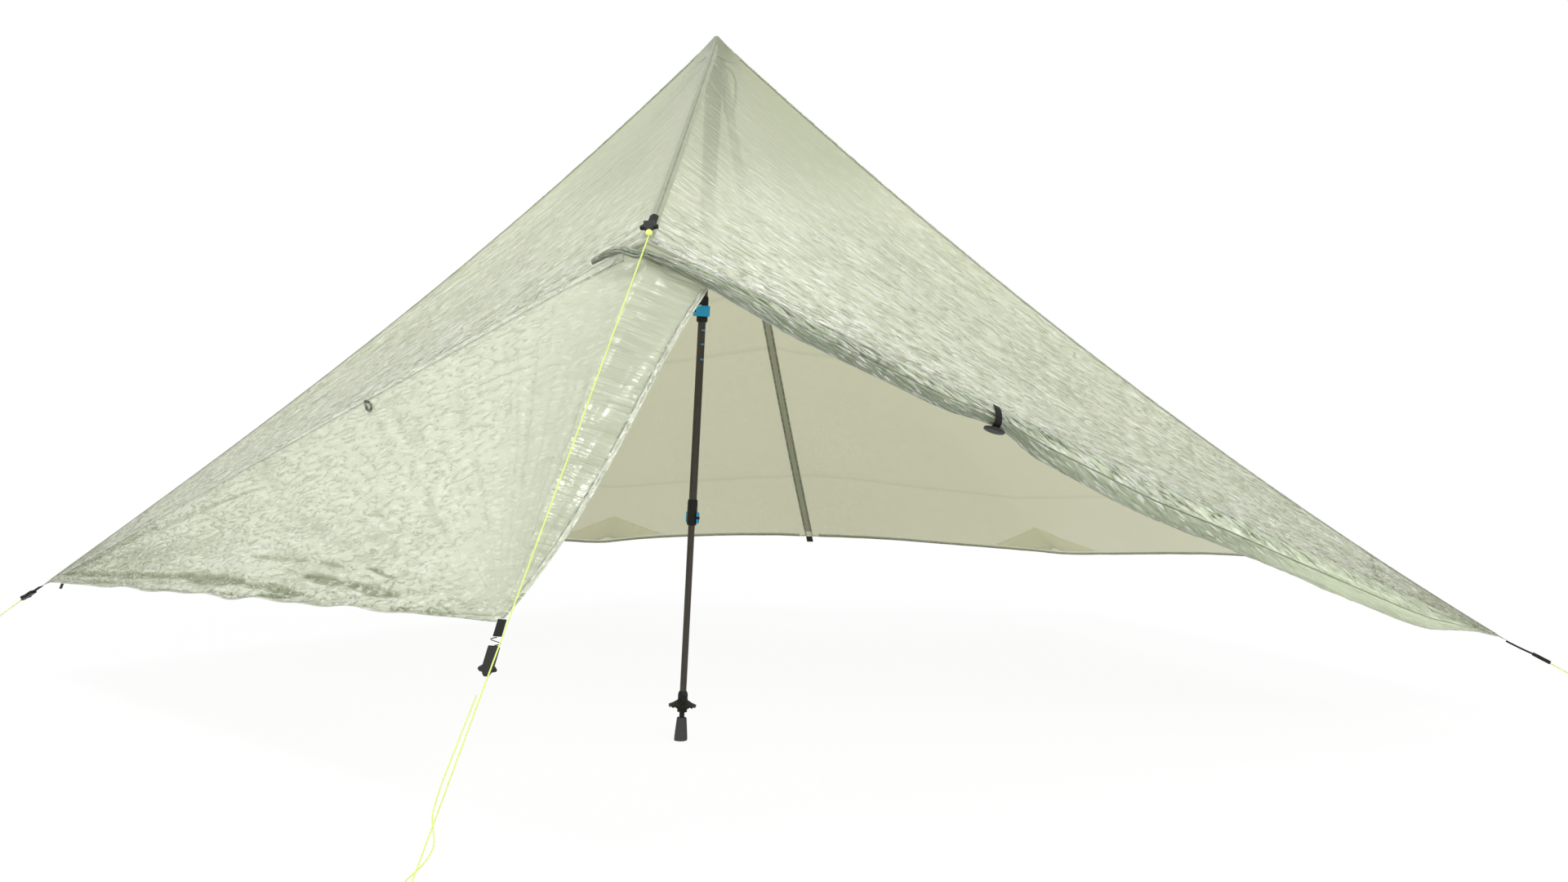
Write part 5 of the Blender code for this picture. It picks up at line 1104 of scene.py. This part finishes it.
def build_left_door(left_line, right_line, paint):
    """The closed door with radiating folds, its seam and its two hems."""
    door = Door(left_line, right_line)
    end = 1.0 - DOOR_CORNER_CUT / length(door.top(1.0) - door.top(-1.0))
    shares = np.concatenate([1.0 - np.linspace(0.0, 1.0, 210) ** 1.4, np.linspace(0.0, -1.0, 51)[1:]])
    down = DOOR_TOP_CUT + (end - DOOR_TOP_CUT) * np.linspace(0.0, 1.0, 370) ** 1.2
    u, v = np.meshgrid(shares, down)
    points = door.at(u, v)
    _, reach, way = fan_coordinates(points, DOOR_CORNER, door.out)
    cloth, left_reach, left_way = fan_coordinates(points, LEFT, door.out, DOOR_SPREAD)
    dents = door_dents(points)
    top_gap = v * length(door.top(u) - DOOR_CORNER)
    edge_gap = length(points - door.at(-1.0, v))
    hem_gap = length(points - door.at(1.0, v))
    still = eased(top_gap / 0.035) * eased(hem_gap / 0.02 + 0.15) * eased(edge_gap / 0.02 + 0.15)
    near_left = bell(left_reach, 0.0, LEFT_REACH)
    near_hem = np.exp(-hem_gap / HEM_REACH)
    fold = crinkle(reach, way, DOOR_LONG, DOOR_SEED) * np.minimum(reach / 0.35, 1.0)
    from_left = crumple(left_reach * 1.8, left_way * 15.0, DOOR_SEED + 1, 3)
    on_hem = crumple(left_reach * 3.5 + hem_gap * 4.0, hem_gap * 24.0 - left_reach * 1.5, DOOR_SEED + 2, 3)
    fold -= from_left * DOOR_LEFT_DEPTH * near_left * np.minimum(left_reach / 0.25, 1.0)
    fold -= on_hem * DOOR_HEM_DEPTH * near_hem + dents * DOOR_DENT_DEPTH
    small = crinkle(cloth[..., 0], cloth[..., 1], DOOR_SMALL, DOOR_SEED + 4)
    gathers = crinkle(reach, top_gap, DOOR_GATHERS, DOOR_SEED + 6, 3) * np.exp(-top_gap / 0.045)
    height = (fold + small + gathers) * still
    surface = Surface(points, door.out)
    surface.fold(height)
    calm = 1.0 - EDGE_CALM * eased(1.0 - edge_gap / 0.45)
    # Painted shade: darker in its folds and dips, and towards its free edge
    shades = (
        LEFT_FOLD_SHADE * eased((from_left - 0.10) / 0.26) * near_left,
        HEM_FOLD_SHADE * eased((on_hem - 0.12) / 0.26) * np.minimum(near_hem * 1.4, 1.0),
        DIP_SHADE * eased(-height / 0.0050 - 0.10),
        DENT_SHADE * dents,
        FREE_EDGE_SHADE * eased(1.0 - edge_gap / 0.40),
    )
    fields = {
        "seam": np.minimum(np.minimum(top_gap, edge_gap), hem_gap),
        "rough": (DOOR_ROUGH + DOOR_LOW_ROUGH * v) * calm + ZONE_ROUGH * np.maximum(near_left, near_hem),
        "tone": np.max(shades, axis=0),
    }
    add_sheet("left_door_cloth", surface, cloth, paint["door"], "left_door_panel", fields)

    def on_grid(share, down_share):
        column = np.interp(-share, -shares, np.linspace(0.0, 1.0, len(shares)))
        row = np.interp(down_share, down, np.linspace(0.0, 1.0, len(down)))
        return surface.sample(column, row, STRIP_LIFT)

    def along_top(share, distance):
        return on_grid(share, distance / length(door.top(share) - DOOR_CORNER))

    def beside(side, most):
        def place(down_share, distance):
            inner = length(door.at(0.9 * side, down_share) - door.at(side, down_share)) / 0.1
            return on_grid(side * (1.0 - min(distance / max(inner, 1e-4), most)), down_share)

        return place

    steps = np.linspace(0.0, 1.0, 200)
    for name, place, first, last in (
        ("left_door_seam", along_top, 0.995, 0.03),
        ("left_door_bottom_hem", beside(1.0, 0.6), 0.02, 0.93 * end),
        ("left_door_edge_hem", beside(-1.0, 0.9), 0.05, 0.93 * end),
    ):
        edge_strip(name, place, mix(first, last, steps), paint["edge"])


# The rolled door: its section along the seam, its ends, and how it leaves the left side for the right
ROLL_WIDTH = 0.034
ROLL_LEFT_OVERLAP = 0.114
ROLL_END_WIDTH = 0.011
ROLL_MIDDLE_WIDTH = 0.0155
ROLL_HANG = 0.42
ROLL_LEFT_RISE = 0.90
ROLL_LEFT_REACH = 0.060
ROLL_DIP = 0.014
ROLL_DIP_REACH = 0.060
ROLL_LEAN = 0.04
ROLL_TOP = -0.0013
ROLL_TURN = 0.090
ROLL_TAPER = 0.700
ROLL_END_SHARE = 0.988
ROLL_POINT = 0.170
ROLL_STAND_OFF = 0.0016
ROLL_SIDES = 72

# Its depth under the seam, at each distance from the beak
ROLL_DEPTHS = (
    (0.00, 0.028),
    (0.10, 0.030),
    (0.26, 0.042),
    (0.56, 0.045),
    (0.63, 0.034),
    (0.68, 0.034),
    (0.73, 0.054),
    (0.98, 0.069),
    (1.12, 0.059),
    (1.56, 0.050),
    (1.66, 0.037),
    (1.74, 0.020),
)

# Its crinkle: where the strap pinches it, the depth of its ripples and what is added on top, and the depth of
# its twist and what is added past the strap
ROLL_SEED = 91
ROLL_STRAP = 0.655
ROLL_LOOSE_FROM = 0.66
ROLL_PINCH = 0.75
ROLL_PINCH_HALF = 0.022
ROLL_RIPPLE = (0.0009, 0.0030)
ROLL_TWIST = (0.0013, 0.0022)

# Painted shade: how dark its rolled underside and its flap are, and how much lighter its tail and the tail's
# end are
ROLLED_SHADE = 0.74
FLAP_SHADE = 0.04
TAIL_LIGHTER = 0.35
END_LIGHTER = 0.80

# The laps of cloth along it: angle, half width, depth, its share everywhere, and its share past the strap
ROLL_LAPS = (
    (0.0, 0.17, 0.0042, 1.0, 0.0),
    (0.75, 0.15, 0.0030, 0.4, 1.0),
    (-0.75, 0.14, 0.0026, 0.0, 1.0),
)


def outward_of(line, like):
    """The level direction square to a line, on the same side as another."""
    side = unit(np.cross(line(1.0) - line(0.0), UP) * (1.0, 1.0, 0.0))
    return side if np.dot(side, like) > 0.0 else -side


def roll_centre(left_line, right_line, station):
    """Centre, width and height of the rolled door, at a distance along its seam from the beak."""
    left_length = length(left_line(1.0) - left_line(0.0))
    right_length = length(right_line(1.0) - right_line(0.0))
    left_side = outward_of(left_line, -RIGHT)
    right_side = outward_of(right_line, RIGHT)
    side = unit(mix(left_side, right_side, eased((station + ROLL_TURN) / (2.0 * ROLL_TURN))))
    dip = ROLL_DIP * bell(station, 0.0, ROLL_DIP_REACH)
    if station < 0.0:
        seam = left_line(-station / left_length)
        wall = left_side
        width = mix(ROLL_END_WIDTH, ROLL_MIDDLE_WIDTH, 1.0 + station / ROLL_LEFT_OVERLAP)
        height = width
        drop = width * mix(ROLL_HANG, -ROLL_LEFT_RISE, eased(-station / ROLL_LEFT_REACH)) + dip
    else:
        seam = right_line(station / right_length)
        wall = right_side
        taper = min(1.0, (ROLL_END_SHARE * right_length - station) / ROLL_TAPER)
        width = mix(ROLL_MIDDLE_WIDTH, ROLL_WIDTH, eased(station / DOOR_OVERLAP))
        width = mix(ROLL_END_WIDTH, width, taper)
        distances, depths = zip(*ROLL_DEPTHS)
        spread = np.linspace(-0.02, 0.02, 5)
        height = np.interp(station + spread, distances, depths).mean() - ROLL_TOP - dip
        drop = ROLL_TOP + dip + height / 2
    before_door = width / 2 + ROLL_STAND_OFF + drop * ROLL_LEAN
    level = min(abs(2.0 * drop / height), 1.0)
    under_seam = width / 2 * math.sqrt(1.0 - level**2) + ROLL_STAND_OFF
    past_door = min(max(station / DOOR_OVERLAP - 1.3, 0.0), 1.0)
    out = mix(before_door, under_seam, past_door) / np.dot(side, wall)
    return seam + side * out - UP * drop, float(width), float(height)


def build_roll(left_line, right_line, paint):
    """The rolled right door: a smooth roll below and a crinkled flap above, pinched at the toggle."""
    end = ROLL_END_SHARE * length(right_line(1.0) - right_line(0.0))
    stations = np.concatenate([np.linspace(-ROLL_LEFT_OVERLAP, 0.0, 50)[:-1], np.linspace(0.0, end, 620)])
    centres, widths, heights = zip(*(roll_centre(left_line, right_line, station) for station in stations))
    widths = np.array(widths)[:, None]
    heights = np.array(heights)[:, None]
    point = np.clip((end - stations) / ROLL_POINT, 0.02, 1.0)[:, None] ** 0.8
    centres = np.array(centres) + UP * heights * (1.0 - point) / 2
    heights = heights * point
    widths = widths * np.sqrt(point)
    side = unit(np.cross(unit(np.gradient(centres, axis=0)), UP))
    station, angle = np.meshgrid(stations, turn(ROLL_SIDES), indexing="ij")
    cos = np.cos(angle)
    sin = np.sin(angle)
    loose = eased((station - ROLL_LOOSE_FROM) / 0.15)
    free = 1.0 - ROLL_PINCH * bell(station, ROLL_STRAP, ROLL_PINCH_HALF)
    near_end = np.minimum(eased((station + ROLL_LEFT_OVERLAP) / 0.02), 1.0)
    ripple = crumple(station * 46.0, angle * 1.9, ROLL_SEED, 4)
    twist = crumple(station * 7.0 + angle * 0.9, angle * 1.3 - station * 2.0, ROLL_SEED + 4, 3)
    upper = eased((sin + 0.25) / 0.8)
    lap = angle - 0.12 - 0.22 * np.sin(station * 9.0) - 0.35 * loose
    depth = ripple * (ROLL_RIPPLE[0] + ROLL_RIPPLE[1] * upper) * free
    depth += twist * (ROLL_TWIST[0] + ROLL_TWIST[1] * loose) * free
    for middle, half, deep, before, past in ROLL_LAPS:
        depth -= bell(lap, middle, half) * deep * (before + past * loose)
    depth = depth * np.minimum(widths / 0.020, 1.0) * near_end * eased((end - station) / 0.05 + 0.1)
    out_x = cos * (widths / 2 + depth - 0.0004)
    out_z = sin * (heights / 2 + np.where(sin > 0.0, 0.3, 1.0) * depth)
    points = centres[:, None, :] + side[:, None, :] * out_x[..., None] + UP * out_z[..., None]
    cloth = np.stack([station, angle * 0.018 + station * 0.20], axis=-1)
    # Painted shade: the underside of the roll darker, less so along the loose tail
    rolled = 1.0 - eased((sin + 0.40 + 0.25 * twist) / 0.65)
    tail = eased((station - ROLL_LOOSE_FROM) / 0.20)
    end_tail = eased((station - 1.05) / 0.35)
    tone = (ROLLED_SHADE * rolled + FLAP_SHADE) * (1.0 - TAIL_LIGHTER * tail) * (1.0 - END_LIGHTER * end_tail)
    rough = 0.85 + 0.45 * upper - 0.6 * end_tail
    made = grid_object("rolled_door", points, paint["roll"], cloth, closed=True, tone=tone, rough=rough)
    close_ends(made, ROLL_SIDES)
    stand_in(made, "roll", "right_door_roll")


# Lines
LINE_SAG = 0.003


def line_ends(node, low_x, low_y):
    """The two ends of a straight line's CAD node: the upper one first."""
    low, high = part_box(node)
    half = CORD / 2
    upper = np.array((high[0] if low_x else low[0], high[1] if low_y else low[1], high[2] - half))
    lower = np.array((low[0] if low_x else high[0], low[1] if low_y else high[1], low[2] + half))
    return upper, lower


def add_line(name, route, paint):
    """One guyline's cord, seen instead of its CAD node."""
    made = stand_in(tube(name + "_cord", route, CORD / 2, paint["cord"], 14), "cord", name)


def build_lines(paint):
    """The three taut guylines and the door's slack one."""
    for name, low_x, low_y, extra in (
        ("front_guyline", True, True, ["front_cord_knot"]),
        ("left_guyline", True, False, []),
        ("right_guyline", False, False, []),
    ):
        upper, lower = line_ends(name, low_x, low_y)
        middle = mix(upper, lower, 0.5) - UP * LINE_SAG
        add_line(name, smooth_route([upper, middle, lower], 120), paint)
    low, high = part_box("door_guyline")
    start = np.array(DOOR_LINE_ROUTE[0]) + (np.array(DOOR_LINE_ROUTE[0]) - DOOR_LINE_ROUTE[1]) * 0.2
    start[2] = min(start[2], high[2] - CORD / 2)
    finish = np.array(DOOR_LINE_ROUTE[-1]) + (np.array(DOOR_LINE_ROUTE[-1]) - DOOR_LINE_ROUTE[-2]) * 0.1
    finish[2] = max(finish[2], low[2] + CORD / 2)
    add_line("door_guyline", smooth_route([start] + DOOR_LINE_ROUTE + [finish], 160), paint)


# Hard pieces: the right corner's strap, the pole's length marks, the upper lock's screw and the elastic loop
RIGHT_STRAP = ((1.4690, 0.3240, 0.1615), (1.4960, 0.3290, 0.1478), (1.5230, 0.3340, 0.1352))
STRAP_RADIUS = 0.0017
MARK_HEIGHTS = (0.7340, 0.7090, 0.6820)
MARK_TALL = 0.0026
MARK_ANGLES = (0.25, 1.25)
MARK_RADIUS = 0.0073
SCREW_HEIGHT = 0.7760
SCREW_OUT = 0.0116
SCREW_SIDE = -0.0020
SCREW_RINGS = ((0.0030, -0.0008), (0.0030, 0.0005), (0.0025, 0.0009), (0.0001, 0.0009))
LOOP_THICKER = 0.0013
SHARP_ANGLE = 38.0


def add_strap(paint):
    """A narrow rolled strap at the right corner, in place of a flat one."""
    route = smooth_route(RIGHT_STRAP, 24)
    made = tube("right_corner_webbing_strap", route, STRAP_RADIUS, paint["webbing"], 12)
    stand_in(made, "webbing", "right_corner_webbing")


def add_pole_marks(paint):
    """Three blue length marks on the middle tube and the steel screw of the upper lock."""
    axis = unit(PEAK)
    side = unit(np.cross(axis, (0.0, -1.0, 0.0)))
    front = np.cross(side, axis)
    around = ring(np.linspace(*MARK_ANGLES, 9), front, side) * MARK_RADIUS
    for number, height in enumerate(MARK_HEIGHTS):
        rows = np.array([axis * (height + up) + around for up in (-MARK_TALL / 2, MARK_TALL / 2)])
        name = f"length_mark_{number + 1}"
        made = grid_object(name, rows, paint["blue_plastic"], np.zeros((2, 9, 2)), body="middle_pole")
    centre = axis * SCREW_HEIGHT + front * SCREW_OUT + side * SCREW_SIDE
    around = ring(turn(24), side, axis)
    rows = np.array([centre + front * lift + around * radius for radius, lift in SCREW_RINGS])
    made = grid_object("lock_screw", rows, paint["steel"], np.zeros((4, 24, 2)), closed=True)


def dress_nodes(paint):
    """Every CAD node that stays in view gets its finish, with round faces shaded smooth."""
    slots = {entry["node"]: entry["material_slot"] for entry in frame["record"]["subparts"]}
    for name, node in frame["nodes"].items():
        if node.hide_render:
            continue
        node.data.materials.clear()
        node.data.materials.append(paint["wire" if name == "door_hook" else slots[name]])
        shade_smooth(node.data)
        node.data.set_sharp_from_angle(angle=math.radians(SHARP_ANGLE))
    thicker = frame["nodes"]["left_door_loop"].modifiers.new("thicker", "DISPLACE")
    thicker.strength = LOOP_THICKER
    thicker.mid_level = 0.0


# Floor and light
WHITE = (1.0, 1.0, 1.0, 1.0)
FLOOR_SIZE = 40.0
FLOOR_DROP = -0.0005
FLOOR_COLOUR = (0.85, 0.85, 0.85, 1.0)
FLOOR_FADE = (1.2, 3.2)
FLOOR_WHITE = 0.93
AMBIENT = 0.44
LIGHT_AIM = (0.05, 0.2, 0.5)
SOFT_LIGHTS = (
    ("key", (2.6, -3.6, 3.6), 1.5, 115.0),
    ("top", (-1.4, -0.6, 4.4), 1.6, 90.0),
    ("left", (-3.6, -3.2, 1.9), 1.3, 85.0),
    ("right", (4.2, -0.6, 2.6), 1.4, 60.0),
    ("back", (0.4, 4.2, 2.8), 2.2, 50.0),
)


def lay_floor():
    """A pale floor that is white to the eye and keeps a faint shadow."""
    mesh = bpy.data.meshes.new("floor")
    half = FLOOR_SIZE / 2
    corners = [(x * half, y * half, 0.0) for x, y in ((-1, -1), (1, -1), (1, 1), (-1, 1))]
    mesh.from_pydata(corners, [], [(0, 1, 2, 3)])
    floor = placed("floor", mesh)
    floor.location.z = FLOOR_DROP
    shader = Shader(bpy.data.materials.new("pale_floor"))
    seen = shader.looked_at()
    matte = shader.add("BsdfDiffuse", {"Color": FLOOR_COLOUR}).outputs[0]
    white = shader.add("Emission", {"Color": WHITE, "Strength": 1.0}).outputs[0]
    place = shader.add("TexCoord").outputs["Object"]
    away = shader.add("VectorMath", {0: place}, operation="LENGTH").outputs["Value"]
    fade = shader.ranged(away, *FLOOR_FADE, FLOOR_WHITE, interpolation_type="SMOOTHSTEP")
    mesh.materials.append(shader.finish(shader.blend(shader.times(seen, fade), matte, white)))


def set_light():
    """A white surround with soft panels above and in front."""
    world = bpy.data.worlds.new("studio")
    bpy.context.scene.world = world
    shader = Shader(world)
    fill, white = (
        shader.add("Background", {"Color": WHITE, "Strength": strength}).outputs[0]
        for strength in (AMBIENT, 1.0)
    )
    shader.finish(shader.blend(shader.looked_at(), fill, white), "World")
    for name, place, size, power in SOFT_LIGHTS:
        light = bpy.data.lights.new(name, "AREA")
        light.shape = "SQUARE"
        light.size = size
        light.energy = power
        lamp = placed(name, light)
        lamp.location = place
        aim = Vector(LIGHT_AIM) - Vector(place)
        lamp.rotation_euler = aim.to_track_quat("-Z", "Y").to_euler()


def main():
    """Builds the looks in order: camera and lines, cloth, hard pieces, floor and light."""
    set_camera()
    paint = make_paint()
    build_lines(paint)
    left_line, right_line = build_canopy(paint)
    build_left_door(left_line, right_line, paint)
    build_roll(left_line, right_line, paint)
    add_strap(paint)
    add_pole_marks(paint)
    dress_nodes(paint)
    lay_floor()
    set_light()
    bpy.context.scene.view_settings.view_transform = "Standard"


main()
